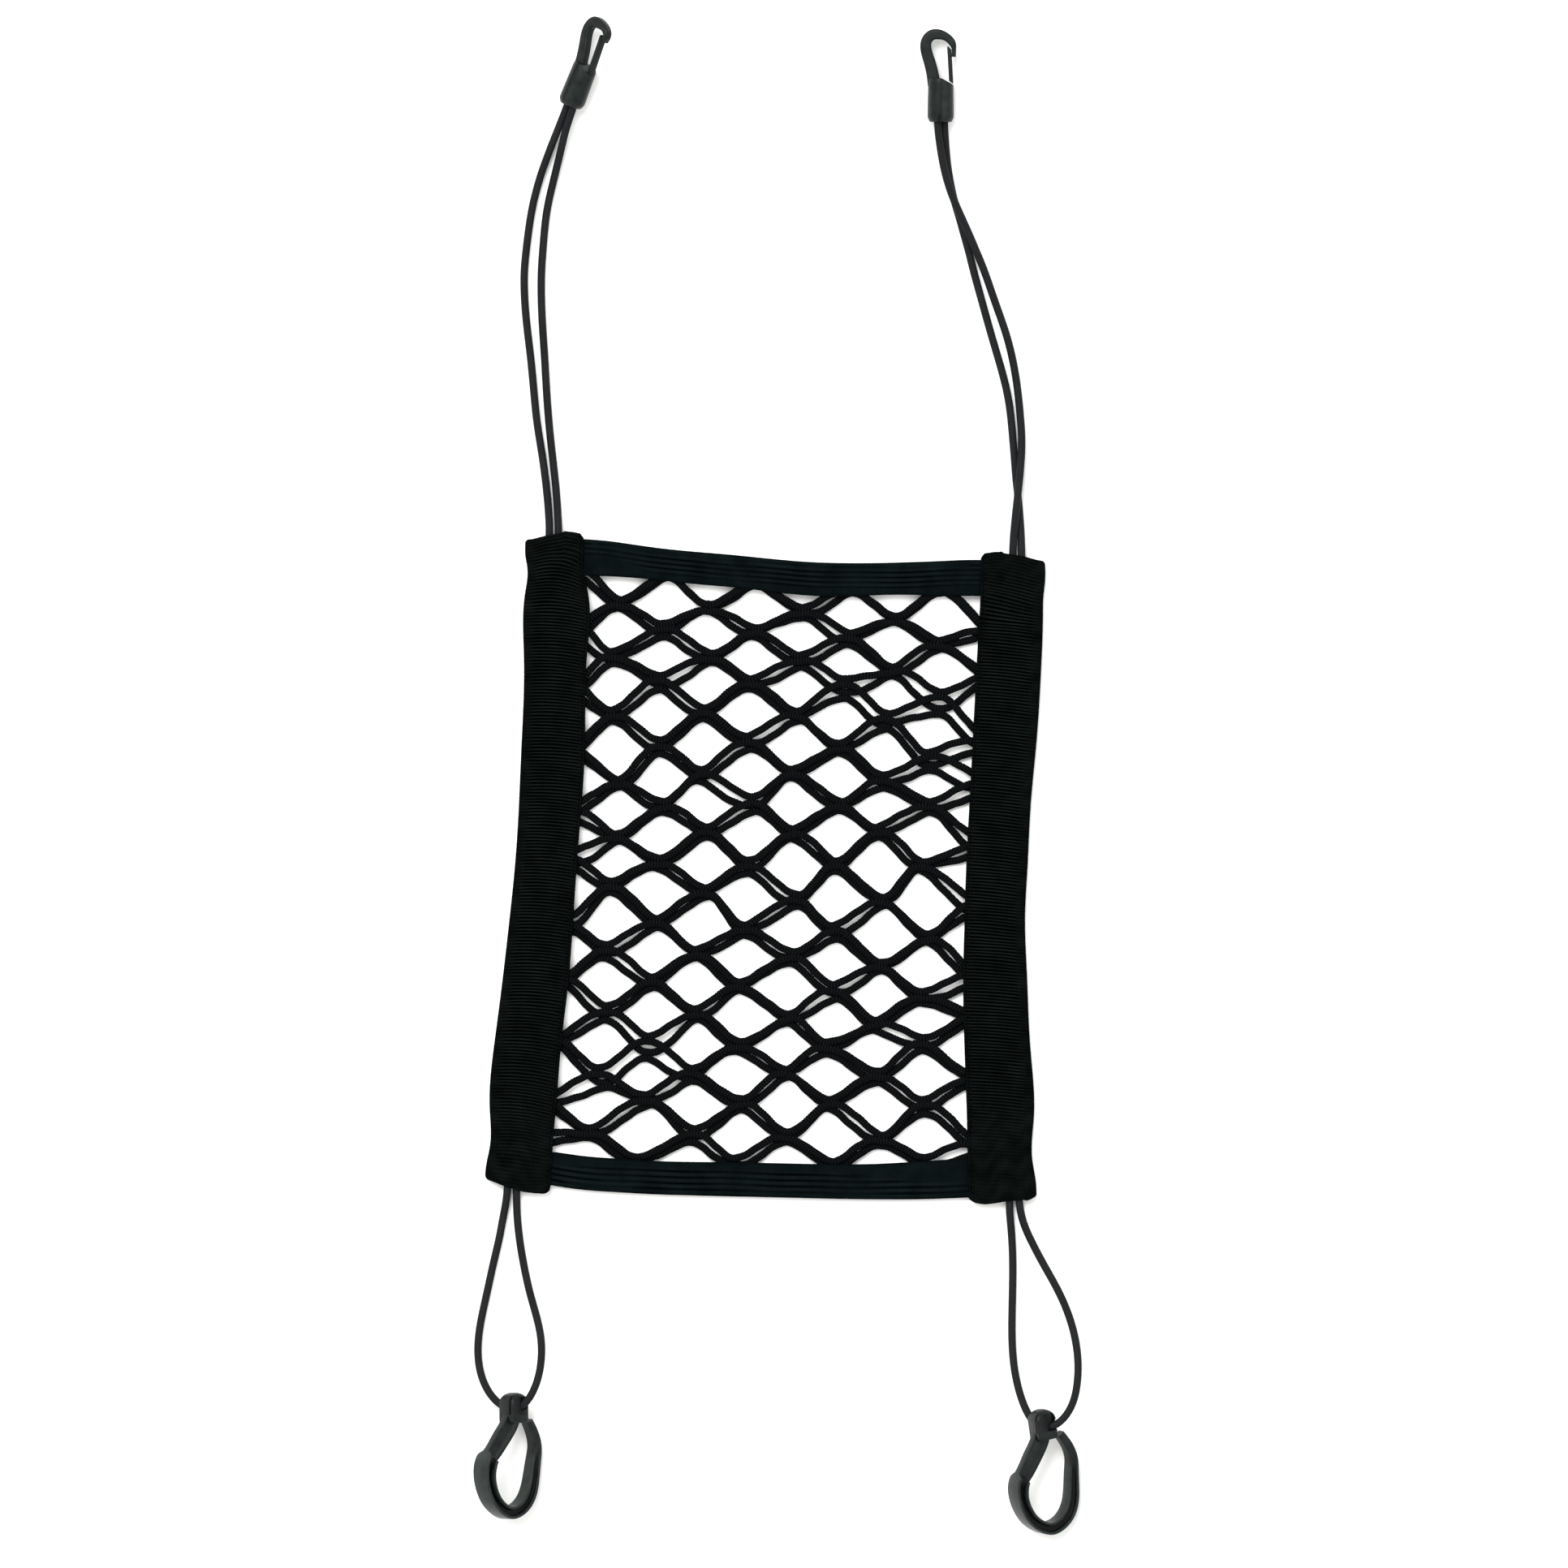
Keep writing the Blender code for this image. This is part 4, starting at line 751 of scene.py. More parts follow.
sleeves = {
    "slot": "sleeve_elastic", "tape": 0.9 * mm, "height": 5.4 * mm, "step": 0.36 * mm,
    # columns across the lower layer, round the fold and across the upper layer
    "bottom": 5, "fold": 6, "top": 20,
    # the open edge is rounded over this size, which is this share of a typical width
    "edgeRound": 0.3 * mm, "edgeShare": 0.015, "width": 22.0 * mm,
    "pitch": 1.35 * mm, "relief": 0.13 * mm, "endReach": 13.0 * mm,
    "seamInset": 1.9 * mm, "seamWidth": 1.1 * mm, "seamDepth": 0.35 * mm,
    "stitch": {"length": 1.5 * mm, "gap": 0.8 * mm, "radius": 0.17 * mm, "sunk": 0.2625 * mm},
    # how the ribs wander along y and across the tape
    "wander": ((0.10 * mm, 420.0, 3.0, 0.0), (0.07 * mm, 1330.0, -5.0, 0.0)),
    # how much weaker the ribs are at the fold and at the open edge, and how far in that reaches
    "foldFade": (0.65, 3.0 * mm), "edgeFade": (0.45, 5.0 * mm),
    # creases where the ribs are weak: relief, rates along and across, size and rate of their bend,
    # and the margin without them at the fold and the edge
    "crease": 0.05 * mm, "creaseRates": (760.0, 9.0), "creaseBend": (2.0, 11.0), "creaseMargin": 0.02,
    # part of a rib's height that lies below the plain tape, and the tones of the marks: plain tape,
    # painted highlights on the rib crests, painted light and shade on the creases, and the darker seam
    # line
    "ribSunk": 0.6, "tones": {"plain": 0.32, "lightAndShadeTone": 1.08, "crease": 0.08, "seam": 0.45},
    "sleeve_left": {
        "flat": (0.0565, 0.279),
        # outer x, outer y, inner x, inner y
        "table": (
            (-100.4, 138.6, -75.9, 140.6), (-100.4, 132.0, -76.0, 132.4), (-99.5, 125.0, -76.1, 125.0),
            (-99.8, 120.0, -75.0, 120.0), (-100.6, 115.0, -73.9, 115.0), (-101.0, 88.0, -74.6, 88.0),
            (-102.0, 52.0, -75.3, 52.0), (-104.3, 7.0, -78.3, 7.0), (-107.7, -27.0, -80.6, -27.0),
            (-110.5, -51.0, -82.6, -51.0), (-113.5, -74.0, -85.3, -74.0), (-115.4, -100.0, -87.4, -100.0),
            (-115.2, -116.0, -88.8, -116.0), (-116.7, -124.0, -89.4, -127.0),
            (-117.3, -129.4, -89.8, -135.6),
        ),
        # share from the fold to the open edge, end outline beyond the straight line there
        "topEnd": ((0.0, -1.6), (0.03, -0.7), (0.17, -0.6), (0.34, 0.3), (0.6, 0.9), (0.68, 1.6),
                   (0.83, 0.9), (0.955, 0.0), (1.0, -2.0)),
        "bottomEnd": ((0.0, 0.6), (0.02, -0.9), (0.14, -1.4), (0.29, -2.1), (0.55, -2.8), (0.75, -2.3),
                      (0.92, -1.5), (0.985, 0.1), (1.0, 2.0)),
        # y, fall of a rib from the fold to the open edge, its arch, its strength
        "ribs": ((140.0, -1.5, 0.8, 0.3), (134.0, -1.2, 1.0, 0.55), (127.0, 2.0, 2.0, 0.9),
                 (118.0, 3.2, 2.0, 1.0), (105.0, 2.2, 1.0, 1.0), (60.0, 1.5, 0.6, 1.0),
                 (-60.0, 2.0, 0.8, 0.95), (-100.0, 3.5, 1.0, 0.85), (-116.0, 3.5, 1.0, 0.5),
                 (-128.0, 3.0, 0.5, 0.15)),
    },
    "sleeve_right": {
        "flat": (0.0565, 0.272),
        "table": (
            (117.8, 128.6, 90.8, 131.9), (117.8, 121.0, 90.8, 124.0), (117.1, 114.0, 90.6, 114.0),
            (116.9, 106.0, 90.2, 106.0), (116.2, 85.0, 89.0, 85.0), (114.1, 52.0, 87.3, 52.0),
            (111.8, 27.0, 86.0, 27.0), (110.4, 0.0, 84.6, 0.0), (109.4, -20.0, 84.0, -20.0),
            (110.2, -45.0, 83.4, -45.0), (111.6, -75.0, 83.9, -75.0), (113.1, -104.0, 84.9, -104.0),
            (112.3, -121.0, 85.3, -122.0), (113.8, -131.0, 85.5, -133.0), (114.2, -137.9, 85.6, -140.0),
        ),
        "topEnd": ((0.0, -0.9), (0.02, 0.3), (0.18, 0.5), (0.3, 1.2), (0.55, 1.5), (0.63, 1.4),
                   (0.665, 2.3), (0.7, 1.9), (0.78, 1.7), (0.97, 0.3), (1.0, -2.0)),
        "bottomEnd": ((0.0, 0.9), (0.02, 0.0), (0.09, -0.8), (0.124, -1.6), (0.155, -0.9), (0.45, -0.9),
                      (0.57, -1.3), (0.75, -1.6), (0.89, -0.8), (0.985, 0.9), (1.0, 2.0)),
        "ribs": ((132.0, -3.5, 0.3, 0.12), (123.0, -5.0, 0.3, 0.4), (115.0, -5.7, 0.3, 0.95),
                 (103.0, -2.5, 0.3, 1.0), (60.0, -2.2, 0.3, 1.0), (0.0, -2.2, 0.3, 1.0),
                 (-60.0, -1.5, 0.3, 1.0), (-96.0, -2.0, 0.3, 0.9), (-110.0, -2.0, 0.3, 0.4),
                 (-122.0, -1.0, 0.3, 0.2), (-139.0, -1.0, 0.3, 0.1)),
    },
}

bindings = {
    "slot": "binding_elastic", "tape": 0.9 * mm, "height": 5.4 * mm, "step": 0.36 * mm,
    "bottom": 5, "fold": 8, "top": 30, "edgeRound": 0.3 * mm, "edgeShare": 0.015, "width": 11.0 * mm,
    # the ends are pressed flat between the sleeve's layers
    "pressed": 3.0 * mm, "raised": 1.2 * mm, "pressLength": 7.0 * mm,
    "relief": 0.16 * mm, "toothPitch": 0.8 * mm, "toothDepth": 0.13 * mm, "seamInset": 1.3 * mm,
    "stitch": {"length": 1.4 * mm, "gap": 0.7 * mm, "radius": 0.17 * mm, "sunk": 0.05 * mm},
    # along x: how the ribs drift across the tape, how their strength varies, the plain tape's grain
    "drift": ((0.18 * mm, 61.0, 0.0, 0.0), (0.12 * mm, 173.0, 0.0, 1.0)),
    "steady": 0.75, "strength": ((0.25, 130.0, 0.0, 0.0),), "grain": ((0.04 * mm, 1900.0, 0.0, 0.0),),
    # how gradually the ribs stop, and how far in the teeth and the open edge's shade reach
    "ribStop": 1.5 * mm, "foldTeeth": 0.8 * mm, "edgeTeeth": 0.6 * mm, "shade": (0.25, 2.5 * mm),
    # part of a rib's height below the plain tape, and the tones of the marks: painted highlights on the
    # rib crests and teeth, painted shade in the grooves
    "ribSunk": 0.7, "tones": {"plain": 0.55, "lightAndShadeTone": 1.1, "groove": 0.75, "tooth": 0.25, "inside": 0.4},
    "binding_top": {
        "flat": (0.0325, 0.1848), "pitch": 2.1 * mm, "ends": (-76.0 * mm, 91.5 * mm),
        # x, distance from the fold where the ribs stop
        "ribbed": ((-84.0, 5.5), (-62.0, 7.0), (-48.0, 10.5), (70.0, 11.0), (100.0, 11.0)),
        # x, fold y, open y
        "table": (
            (-83.5, 138.4, 123.0), (-75.0, 138.2, 122.8), (-62.0, 137.0, 122.4),
            (-48.0, 135.0, 121.3), (-28.0, 132.9, 119.2), (-8.0, 131.1, 117.4),
            (13.0, 129.1, 114.9), (33.0, 128.2, 114.2), (54.0, 128.4, 114.8), (74.0, 129.1, 114.5),
            (90.0, 129.5, 114.3), (100.0, 129.0, 114.2),
        ),
    },
    "binding_bottom": {
        "flat": (0.0360, 0.1970), "pitch": 2.5 * mm, "ends": (-89.6 * mm, 85.3 * mm),
        "ribbed": ((-99.0, 8.0), (-60.0, 11.0), (30.0, 11.0), (60.0, 7.5), (97.0, 6.0)),
        "table": (
            (-99.0, -131.2, -118.4), (-89.0, -133.2, -119.0), (-76.0, -135.0, -120.7),
            (-62.0, -136.0, -121.8), (-48.0, -136.8, -122.7), (-20.0, -137.6, -123.3),
            (13.0, -138.4, -123.9), (47.0, -139.0, -124.0), (68.0, -138.9, -122.8),
            (86.0, -138.2, -121.8), (97.0, -137.8, -121.6),
        ),
    },
}


upperTurn = 1.0  # a band's upper layer starts at this turn round its fold


def foldedShares(family):
    # round a folded tape, from the lower open edge by the fold to the upper one:
    # share of the flat part from fold to edge, and turn round the fold
    flatEnd = 1.0 - family["edgeShare"]
    lower = np.append(1.0, np.linspace(flatEnd, 0.0, family["bottom"]))[:-1]
    upper = np.append(np.linspace(0.0, flatEnd, family["top"] + 1)[1:], 1.0)
    turn = np.linspace(-np.pi / 2.0, np.pi / 2.0, family["fold"] + 1)
    share = np.concatenate([lower, np.zeros(len(turn)), upper])
    turn = np.concatenate([np.full(len(lower), turn[0]), turn, np.full(len(upper), turn[-1])])
    return share, turn


def bandGrid(family, lines, height, rise, relief, outline=None):
    # a folded tape: distance from the fold = radius + share * flat length - r * cos(turn),
    # height = radius + r * sin(turn), with r the full radius outside and less the tape inside
    share, turn = foldedShares(family)
    fold, across = lines[:, :2], lines[:, 2:4] - lines[:, :2]
    length = np.linalg.norm(across, axis=1)[:, None]
    radius = height[:, None] / 2.0
    blunt = np.where(share == 1.0, family["edgeRound"] * 0.8, 0.0)
    grids = []
    for r in (radius - blunt + relief, radius - family["tape"] + blunt):
        distance = radius + share * (length - radius) - r * np.cos(turn)
        level = np.maximum(radius + r * np.sin(turn) + rise[:, None], 0.02 * mm)
        place = fold[:, None] + across[:, None] * (distance / length)[..., None]
        if outline:
            place[..., 1] += outline(distance / length)
        grids.append(np.concatenate([place, level[..., None]], axis=-1))
    return np.concatenate([grids[0], grids[1][:, ::-1]], axis=1)


def bandRound(family):
    # distance round the closed section at its corners, for the surface coordinates
    share, turn = foldedShares(family)
    steps = np.abs(np.diff(share)) * family["width"] + np.abs(np.diff(turn)) * family["height"] / 2.0
    out = np.concatenate([[0.0], np.cumsum(steps)])
    return np.concatenate([out, out[-1] + 0.001 + out, [2.0 * out[-1] + 0.002]])


def addStitches(shape, line, settings):
    # short rounded threads end to end along a line on the surface
    run = runOf(line)
    beat = settings["length"] + settings["gap"]
    swell = np.array([0.35, 0.9, 1.0, 0.9, 0.35])
    sink = np.array([-0.8, 0.0, 0.35, 0.0, -0.8]) * settings["radius"]
    sections = swell[:, None, None] * unitRing(6) * settings["radius"]
    for start in np.arange(beat, run[-1] - beat, beat):
        where = start + np.linspace(0.0, settings["length"], len(swell))
        points = np.stack([np.interp(where, run, column) for column in line.T], axis=1)
        points[:, 2] += sink
        shape.addLoft(tubeGrid(points, sections), marks=np.ones(sections.shape[:2]))


def makeTape(name, family, grid, run, marks, seam, width, finish):
    # the tape carries its painted light and shade outside as its marks say, and an even middle tone inside
    marks = np.concatenate([np.clip(marks, 0.0, 1.2), np.full_like(marks, 0.4)], axis=1)
    shape = Shape()
    shape.addLoft(grid, bandRound(family), run, marks, hollow=True)
    addStitches(shape, seam, family["stitch"])
    piece = shape.make(name + "_tape", finish)
    showFor(piece, name)
    print(name, "flat width", round(width, 4), "length", round(float(run[-1]), 4))


def sleeveRibs(settings, lines, flat):
    # relief of the ribs, the creases and the seam line of a sleeve, and marks that paint highlights on the
    # rib crests, shade between them and light and shade on the creases, and darken the seam line
    share, turn = foldedShares(sleeves)
    y = lines[:, 1:2] + (lines[:, 3:4] - lines[:, 1:2]) * share
    ribs = np.array(settings["ribs"])[::-1]
    fall, arch, strength = (np.interp(y, ribs[:, 0] * mm, column) for column in ribs[:, 1:].T)
    # a rib's phase = (y + fall * share - arch * 4 share (1 - share) + wander) / pitch
    shift = (fall * share - arch * 4.0 * share * (1.0 - share)) * mm
    phase = (y + shift + waves(sleeves["wander"], y, share)) / sleeves["pitch"]
    wave = 0.5 + 0.5 * np.cos(2.0 * np.pi * phase)
    # the ribs fade towards the fold and the open edge
    fromEdge = (1.0 - share) * flat
    for distance, (loss, reach) in ((share * flat, sleeves["foldFade"]), (fromEdge, sleeves["edgeFade"])):
        strength = strength * (1.0 - loss * fade(distance, reach))
    seam = np.exp(-((fromEdge - sleeves["seamInset"]) / (0.5 * sleeves["seamWidth"])) ** 2)
    seam = seam * (turn > upperTurn)
    (along, across), (bend, bendRate) = sleeves["creaseRates"], sleeves["creaseBend"]
    creased = (1.0 - strength) * np.sin(y * along + share * across + bend * np.sin(share * bendRate))
    margin, tone = sleeves["creaseMargin"], sleeves["tones"]
    relief = sleeves["relief"] * (wave - sleeves["ribSunk"]) * strength - sleeves["seamDepth"] * seam
    relief += sleeves["crease"] * creased * (share > margin) * (share < 1.0 - margin)
    # painted highlights on the rib crests, painted shade between them, and painted light and shade on the
    # creases
    marks = tone["plain"] + (tone["lightAndShadeTone"] * wave ** 3 - tone["plain"]) * strength + tone["crease"] * creased
    return relief, marks * (1.0 - tone["seam"] * seam)


def makeSleeve(name, finish):
    # the tape folded across, between the spline lines of its fold and its open edge
    settings = sleeves[name]
    lines = splineThrough(np.array(settings["table"]) * mm, sleeves["step"])
    size = len(lines)
    run = runOf(lines[:, :2])
    ends = [(fade(far, sleeves["endReach"])[:, None], np.array(settings[end]))
            for far, end in ((run, "topEnd"), (run[-1] - run, "bottomEnd"))]

    def outline(across):
        # how far the sewn ends reach beyond the straight line, less and less along the sleeve
        return sum(near * np.interp(across, rows[:, 0], rows[:, 1] * mm) for near, rows in ends)

    flat = np.linalg.norm(lines[:, 2:4] - lines[:, :2], axis=1)[:, None]
    relief, marks = sleeveRibs(settings, lines, flat)
    grid = bandGrid(sleeves, lines, np.full(size, sleeves["height"]), np.zeros(size), relief, outline)
    at = 1.0 - sleeves["seamInset"] / flat
    seam = lines[:, :2] + (lines[:, 2:4] - lines[:, :2]) * at
    seam[:, 1] += outline(at)[:, 0]
    level = np.full(size, sleeves["height"] - sleeves["stitch"]["sunk"])
    width = float((2.0 * (flat - sleeves["height"] / 2.0)).mean() + np.pi * sleeves["height"] / 2.0)
    makeTape(name, sleeves, grid, run, marks, np.column_stack([seam, level]), width, finish)


def bindingRibs(settings, lines, height, length, run):
    # relief and marks of a binding: lengthwise ribs = cosine of the distance from the fold,
    # where they are strong, and teeth along both edges; the marks paint highlights on the crests and shade
    # between them
    share, turn = foldedShares(bindings)
    x, radius = lines[:, 0], height[:, None] / 2.0
    distance = share * (length - radius) + radius
    distance = np.where(np.abs(turn) < 1.5, radius * (1.0 - np.cos(turn)), distance)
    fromEdge = (1.0 - share) * length
    ribbed = np.array(settings["ribbed"])
    limit = np.interp(x, ribbed[:, 0] * mm, ribbed[:, 1] * mm)[:, None]
    strength = softStep((limit - distance) / bindings["ribStop"] + 0.5)
    vary, drift, grain = (waves(bindings[key], x)[:, None] for key in ("strength", "drift", "grain"))
    strength *= bindings["steady"] + vary
    wave = np.sqrt(0.5 - 0.5 * np.cos(2.0 * np.pi * (distance + drift) / settings["pitch"]))
    tooth = 0.5 * np.cos(2.0 * np.pi * run / bindings["toothPitch"])[:, None]
    edges = fade(distance, bindings["foldTeeth"]) + fade(fromEdge, bindings["edgeTeeth"])
    relief = bindings["relief"] * (wave - bindings["ribSunk"]) * strength
    relief += bindings["toothDepth"] * tooth * edges + grain * (1.0 - strength) * (turn > upperTurn)
    # painted highlights on the rib crests and teeth and painted shade between them
    tone = bindings["tones"]
    marks = tone["plain"] + (tone["lightAndShadeTone"] * wave - tone["groove"]) * strength
    marks += tone["tooth"] * tooth * (edges + tone["inside"])
    loss, reach = bindings["shade"]
    return relief, marks * (1.0 - loss * fade(fromEdge, reach))


def makeBinding(name, finish):
    # the tape folded lengthwise; height and rise go from pressed ends to the open middle
    settings = bindings[name]
    # fold x, fold y, open x, open y
    lines = splineThrough(np.array(settings["table"])[:, [0, 1, 0, 2]] * mm, bindings["step"])
    x = lines[:, 0]
    low, high = settings["ends"]
    swell = np.clip(np.minimum(x - low, high - x) / bindings["pressLength"], 0.0, 1.0)
    height = bindings["pressed"] + swell * (bindings["height"] - bindings["pressed"])
    rise = bindings["raised"] * (1.0 - swell)
    length = np.abs(lines[:, 3] - lines[:, 1])
    run = runOf(lines[:, :2])
    relief, marks = bindingRibs(settings, lines, height, length[:, None], run)
    grid = bandGrid(bindings, lines, height, rise, relief)
    at = 1.0 - bindings["seamInset"] / length
    level = height + rise - bindings["stitch"]["sunk"]
    seam = np.column_stack([x, lines[:, 1] + (lines[:, 3] - lines[:, 1]) * at, level])
    shown = (x > low) & (x < high)
    width = float((2.0 * (length - height / 2.0) + np.pi * height / 2.0).mean())
    makeTape(name, bindings, grid, run, marks, seam[shown], width, finish)


# the net

netKnots = {
    # column: x and y of its knots, top to bottom, in millimetres
    "left": (
        (-78.0, -79.0, -79.6, -79.8, -80.8, -81.6, -82.4, -84.4, -87.4, -91.0, -92.6),
        (125.0, 99.1, 75.7, 49.6, 23.4, 3.6, -23.7, -47.0, -71.9, -98.3, -114.9),
    ),
    "a": (
        (-60.6, -65.1, -63.7, -60.6, -62.3, -64.1, -66.1, -67.1, -67.5, -73.6),
        (111.0, 88.5, 64.0, 35.7, 12.9, -7.6, -34.8, -60.7, -87.6, -111.1),
    ),
    "b": (
        (-41.0, -42.6, -43.6, -43.9, -42.6, -45.0, -45.3, -47.0, -48.7, -48.7, -52.8),
        (123.2, 99.8, 78.0, 51.0, 25.8, 2.3, -22.9, -47.8, -73.0, -97.2, -123.0),
    ),
    "c": (
        (-23.5, -23.2, -25.6, -27.3, -24.2, -23.8, -28.3, -29.0, -30.7, -29.3),
        (109.3, 88.2, 65.0, 39.1, 15.3, -9.9, -35.8, -61.4, -86.6, -112.2),
    ),
    "d": (
        (-4.0, -4.8, -5.5, -6.8, -4.8, -7.2, -8.5, -10.6, -11.2, -9.5, -12.3),
        (119.6, 99.1, 77.6, 52.7, 26.9, 0.6, -26.0, -49.5, -74.7, -99.2, -124.4),
    ),
    "e": (
        (16.4, 14.3, 14.3, 11.6, 11.6, 14.3, 10.9, 9.9, 9.9, 9.2),
        (107.3, 86.8, 64.0, 39.8, 14.6, -13.7, -37.5, -63.1, -85.9, -112.8),
    ),
    "f": (
        (36.0, 35.4, 33.0, 31.0, 31.3, 29.6, 29.6, 29.6, 25.6, 26.9, 28.6),
        (117.1, 96.4, 76.9, 50.4, 26.2, 1.0, -27.0, -51.8, -75.4, -98.9, -124.8),
    ),
    "g": (
        (54.2, 53.8, 52.1, 49.7, 47.4, 50.8, 48.4, 46.3, 48.7, 48.0),
        (104.5, 82.6, 61.6, 36.4, 15.3, -14.0, -41.3, -65.8, -87.6, -113.9),
    ),
    "h": (
        (74.0, 73.6, 75.0, 68.5, 69.2, 65.4, 68.5, 65.8, 65.8, 66.8, 67.8),
        (117.1, 94.0, 72.8, 47.0, 25.8, 1.0, -29.4, -54.2, -74.0, -99.9, -123.9),
    ),
    "right": (
        (94.6, 94.0, 92.4, 91.4, 90.2, 88.6, 87.8, 88.2, 88.6, 89.2),
        (100.4, 81.0, 52.5, 34.4, 9.2, -16.3, -45.8, -62.2, -88.4, -116.2),
    ),
}

net = {
    "width": 3.0 * mm, "thick": 1.35 * mm, "toothPitch": 1.25 * mm, "toothDepth": 0.42 * mm,
    # in shares of the pitch: where a tooth peaks, and the shift from one yarn to the next
    "toothPeak": 0.35, "toothShift": 0.37,
    "halfPair": 1.2 * mm, "curveShare": 0.31, "steps": 40, "sides": 8,
    # layer: which way its knots are set off, and the middle height of its yarns
    "layers": {"net_back": (-1.0, 1.9 * mm), "net_front": (1.0, 3.5 * mm)},
    # half the distance between the layers' knots in millimetres: sideways, up and down by row,
    # and how it varies over column and row
    "apartX": 0.7, "apartY": ((0, 1, 2, 3, 4, 10), (0.2, 1.15, 1.2, 1.05, 0.95, 1.05)),
    "varyX": ((1.0, 1.9, 0.8, 0.4), (0.6, 0.7, -2.3, 0.0)),
    "varyY": ((0.45, 1.3, -1.1, 1.0), (0.27, 2.6, 0.5, np.pi / 2.0)), "atSleeves": 1.7,
    # how far a strand bows from the other layer's, and swings with it, over strand and yarn
    "bow": ((0.8 * mm, 2.7, 1.9, 0.0),), "swing": ((0.7 * mm, 3.3, 2.1, 0.0),), "bowMiddle": 0.8 * mm,
    # how a yarn sways and rises along it, and from one yarn to the next
    "sway": ((0.22 * mm, 310.0, 1.0, 0.0), (0.09 * mm, 790.0, 2.0, 0.0)),
    "rise": ((0.18 * mm, 95.0, 1.7, 0.0),), "flat": (0.150, 0.220),
    # knots where the two layers lie clearly apart: column, row, front and back offset
    "doubled": (
        ("left", 0, (0.0, 1.8), (0.0, -2.2)),
        ("a", 8, (-2.4, 2.4), (1.0, -3.3)),
        ("b", 8, (0.0, 1.5), (0.0, -5.4)),
        ("f", 2, (-0.2, 1.5), (1.5, -4.3)),
        ("g", 1, (0.0, 0.8), (0.0, -0.8)),
        ("h", 2, (-1.5, 0.0), (-1.5, -6.9)),
        ("h", 3, (0.0, 0.5), (0.0, -4.6)),
    ),
}


def strandShape(share):
    # share of the rise along a strand: parabolas at both ends and a straight middle
    curve = net["curveShare"]
    slope = 1.0 / (1.0 - curve)
    start = slope * share ** 2 / (2.0 * curve)
    middle = slope * (share - curve / 2.0)
    end = 1.0 - slope * (1.0 - share) ** 2 / (2.0 * curve)
    return np.where(share < curve, start, np.where(share > 1.0 - curve, end, middle))


def knotCentres(side):
    # x and y of every knot of one layer, as (column, row), with the layer's own unevenness
    names = list(netKnots)
    columns = list(netKnots.values())
    rows = max(len(x) for x, y in columns)
    centres = np.zeros((len(columns), rows, 2))
    for k, (x, y) in enumerate(columns):
        centres[k, :len(x), 0] = x
        centres[k, :len(y), 1] = y
    column, row = np.meshgrid(np.arange(len(columns)), np.arange(rows), indexing="ij")
    upDown = np.interp(row, *net["apartY"]) + waves(net["varyY"], column, row)
    upDown[[0, -1]] *= net["atSleeves"]
    shift = side * np.stack([net["apartX"] * waves(net["varyX"], column, row), upDown], axis=-1)
    for letter, number, front, back in net["doubled"]:
        shift[names.index(letter), number] = front if side > 0.0 else back
    return (centres + shift) * mm


def yarnKnots(centres):
    # two yarns for each row: one has its crests on the long columns, one on the short columns
    rows = 10
    isLong = np.array([len(column[0]) > rows for column in netKnots.values()])
    upper = centres[:, :rows].copy()                 # crests on the long columns, troughs on the short
    lower = np.where(isLong[:, None, None], centres[:, 1:rows + 1], centres[:, :rows])
    lift = net["halfPair"]
    upper[..., 1] += np.where(isLong, -lift, lift)[:, None]
    lower[..., 1] += np.where(isLong, lift, -lift)[:, None]
    return np.concatenate([upper.transpose(1, 0, 2), lower.transpose(1, 0, 2)])


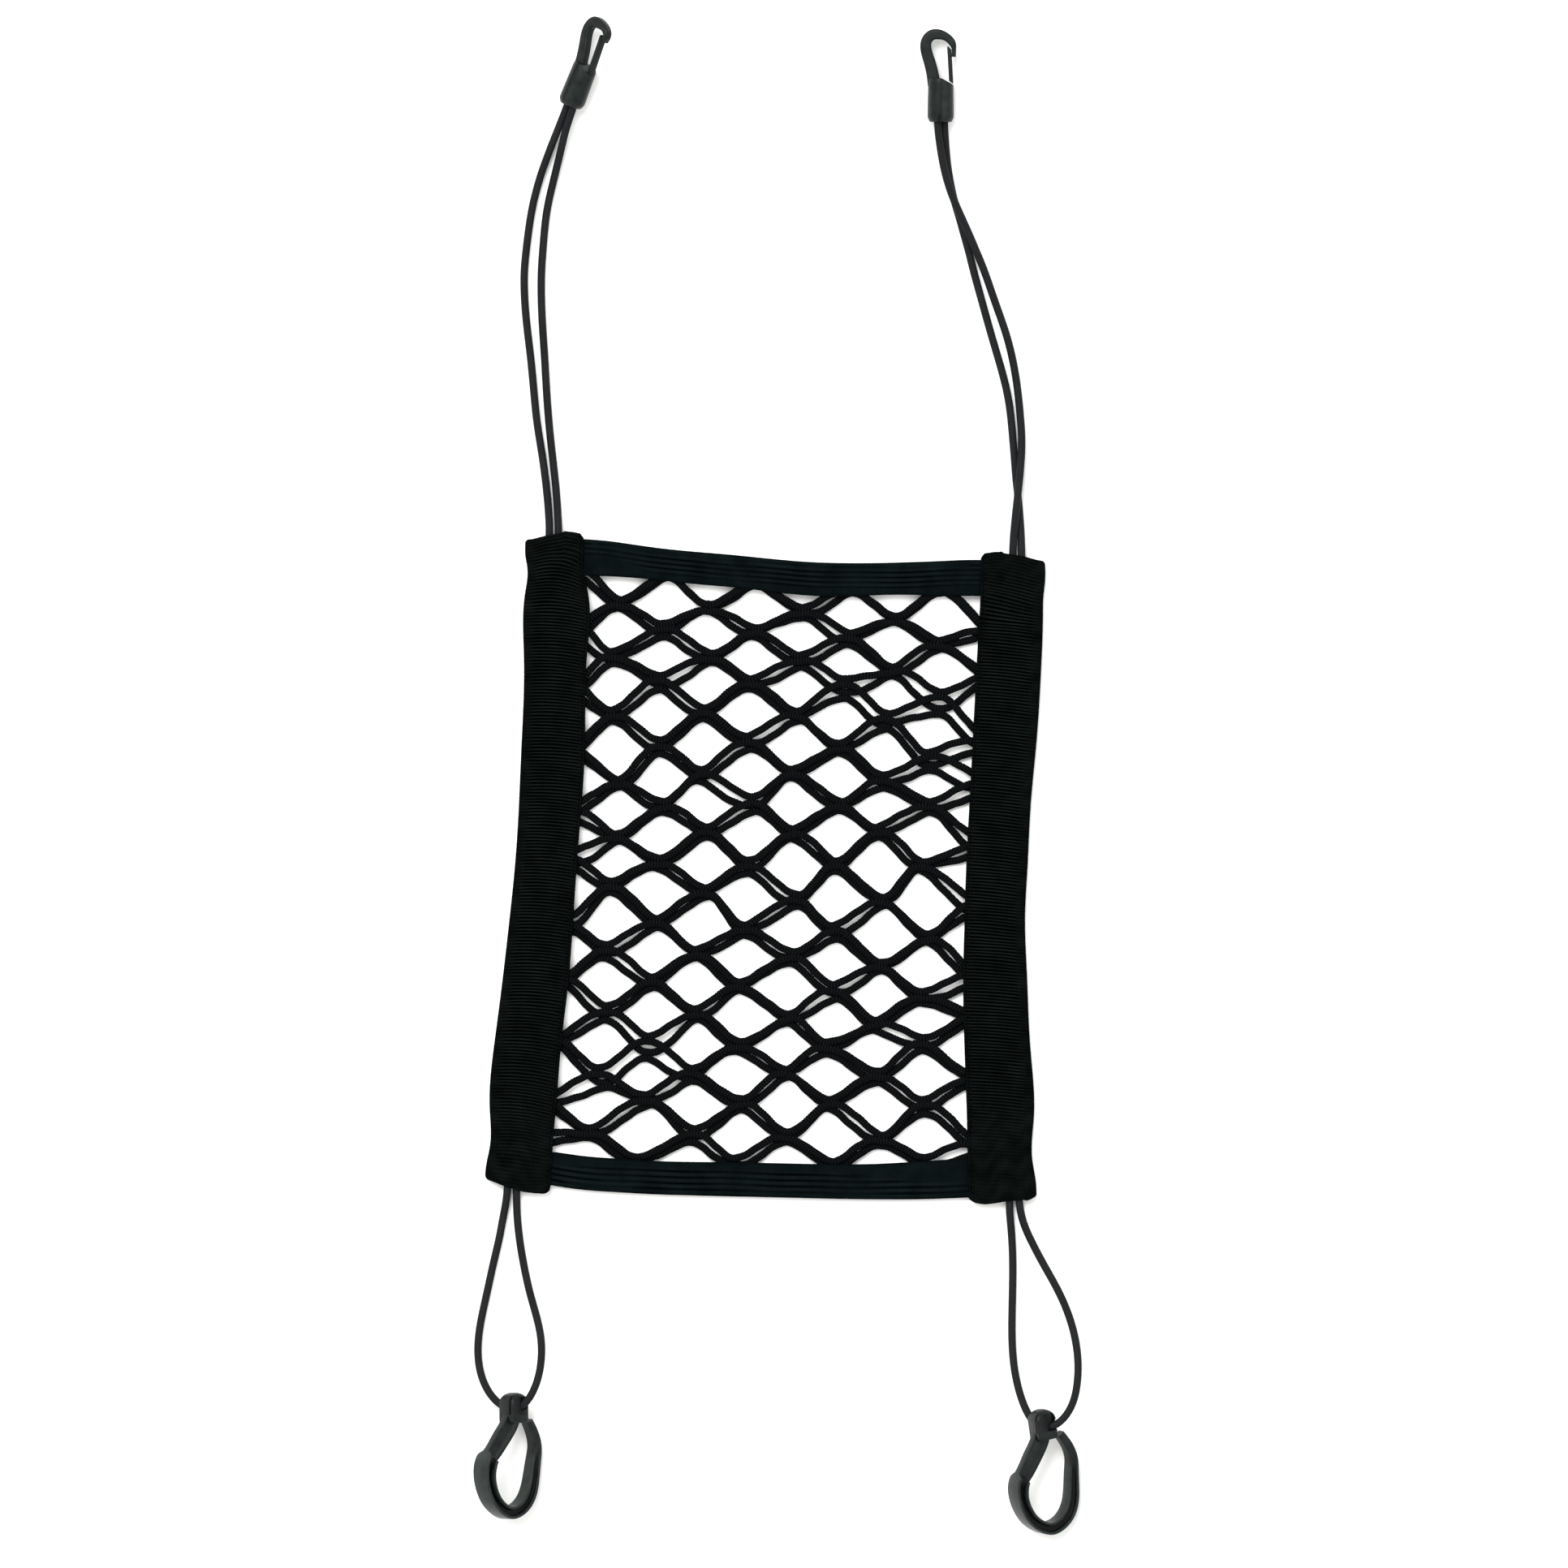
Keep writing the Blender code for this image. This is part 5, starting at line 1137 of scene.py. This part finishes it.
def makeNet(name, side, level, finish):
    # flat yarns from knot to knot: y follows strandShape, plus bow, swing and sway, and z is
    # the layer's level plus its rise
    share = np.linspace(0.0, 1.0, net["steps"], endpoint=False)
    rise = strandShape(share)
    radius = net["width"] / 2.0
    cosine, sine = unitRing(net["sides"]).T
    shape = Shape()
    for number, knots in enumerate(yarnKnots(knotCentres(side))):
        start, end = knots[:-1], knots[1:]
        x = start[:, 0:1] + (end - start)[:, 0:1] * share
        y = start[:, 1:2] + (end - start)[:, 1:2] * rise
        strand = np.arange(len(start))[:, None]
        # the layers bow apart, and both swing the same way
        bow = side * (net["bowMiddle"] + waves(net["bow"], strand, number))
        y += (bow + waves(net["swing"], strand, number)) * np.sin(np.pi * share)
        line = np.concatenate([np.stack([x.ravel(), y.ravel()], axis=1), knots[-1:]])
        run = runOf(line)
        y = line[:, 1] + waves(net["sway"], run, number)
        z = level + waves(net["rise"], run, number)
        # teeth along both edges, deeper on one: half width + depth * saw of the run
        phase = run / net["toothPitch"] + net["toothShift"] * number
        wide = radius + net["toothDepth"] * (0.5 - np.abs((phase % 1.0) - net["toothPeak"]))
        other = radius + 0.5 * net["toothDepth"] * (0.5 - np.abs(((phase + 0.5) % 1.0) - 0.5))
        across = np.where(cosine > 0.0, wide[:, None], other[:, None]) * cosine
        up = net["thick"] / 2.0 * np.sign(sine) * np.abs(sine) ** 0.8
        sections = np.stack([across, np.broadcast_to(up, across.shape)], axis=-1)
        line = np.stack([line[:, 0], y, z], axis=1)
        shape.addLoft(tubeGrid(line, sections), aroundTube(net["sides"], radius), run)
    piece = shape.make(name + "_yarns", finish)
    showFor(piece, name)


# run

makeStage()
makeLamps()
print("stage ready")

plastic = plasticFinish()
for side in ("left", "right"):
    makeSnapHook(side, plastic)
    makeOpenHook(side, plastic)
print("hooks ready")

cordLook = cordFinish()
for name, settings in cords.items():
    makeCord(name, settings, cordLook)
print("cords ready")

sleeveLook = bandFinish("ribbedSleeve", (0.0, 0.0001, 0.0001), (0.0074, 0.0096, 0.0090), 330.0, "X")
bindingLook = bandFinish("ribbedBinding", (0.0, 0.0003, 0.0004), (0.0046, 0.0078, 0.0083), 400.0, "Y")
makeSleeve("sleeve_left", sleeveLook)
makeSleeve("sleeve_right", sleeveLook)
makeBinding("binding_top", bindingLook)
makeBinding("binding_bottom", bindingLook)
print("bands ready")

yarnLook = yarnFinish()
for name, (side, level) in net["layers"].items():
    makeNet(name, side, level, yarnLook)
print("net ready")
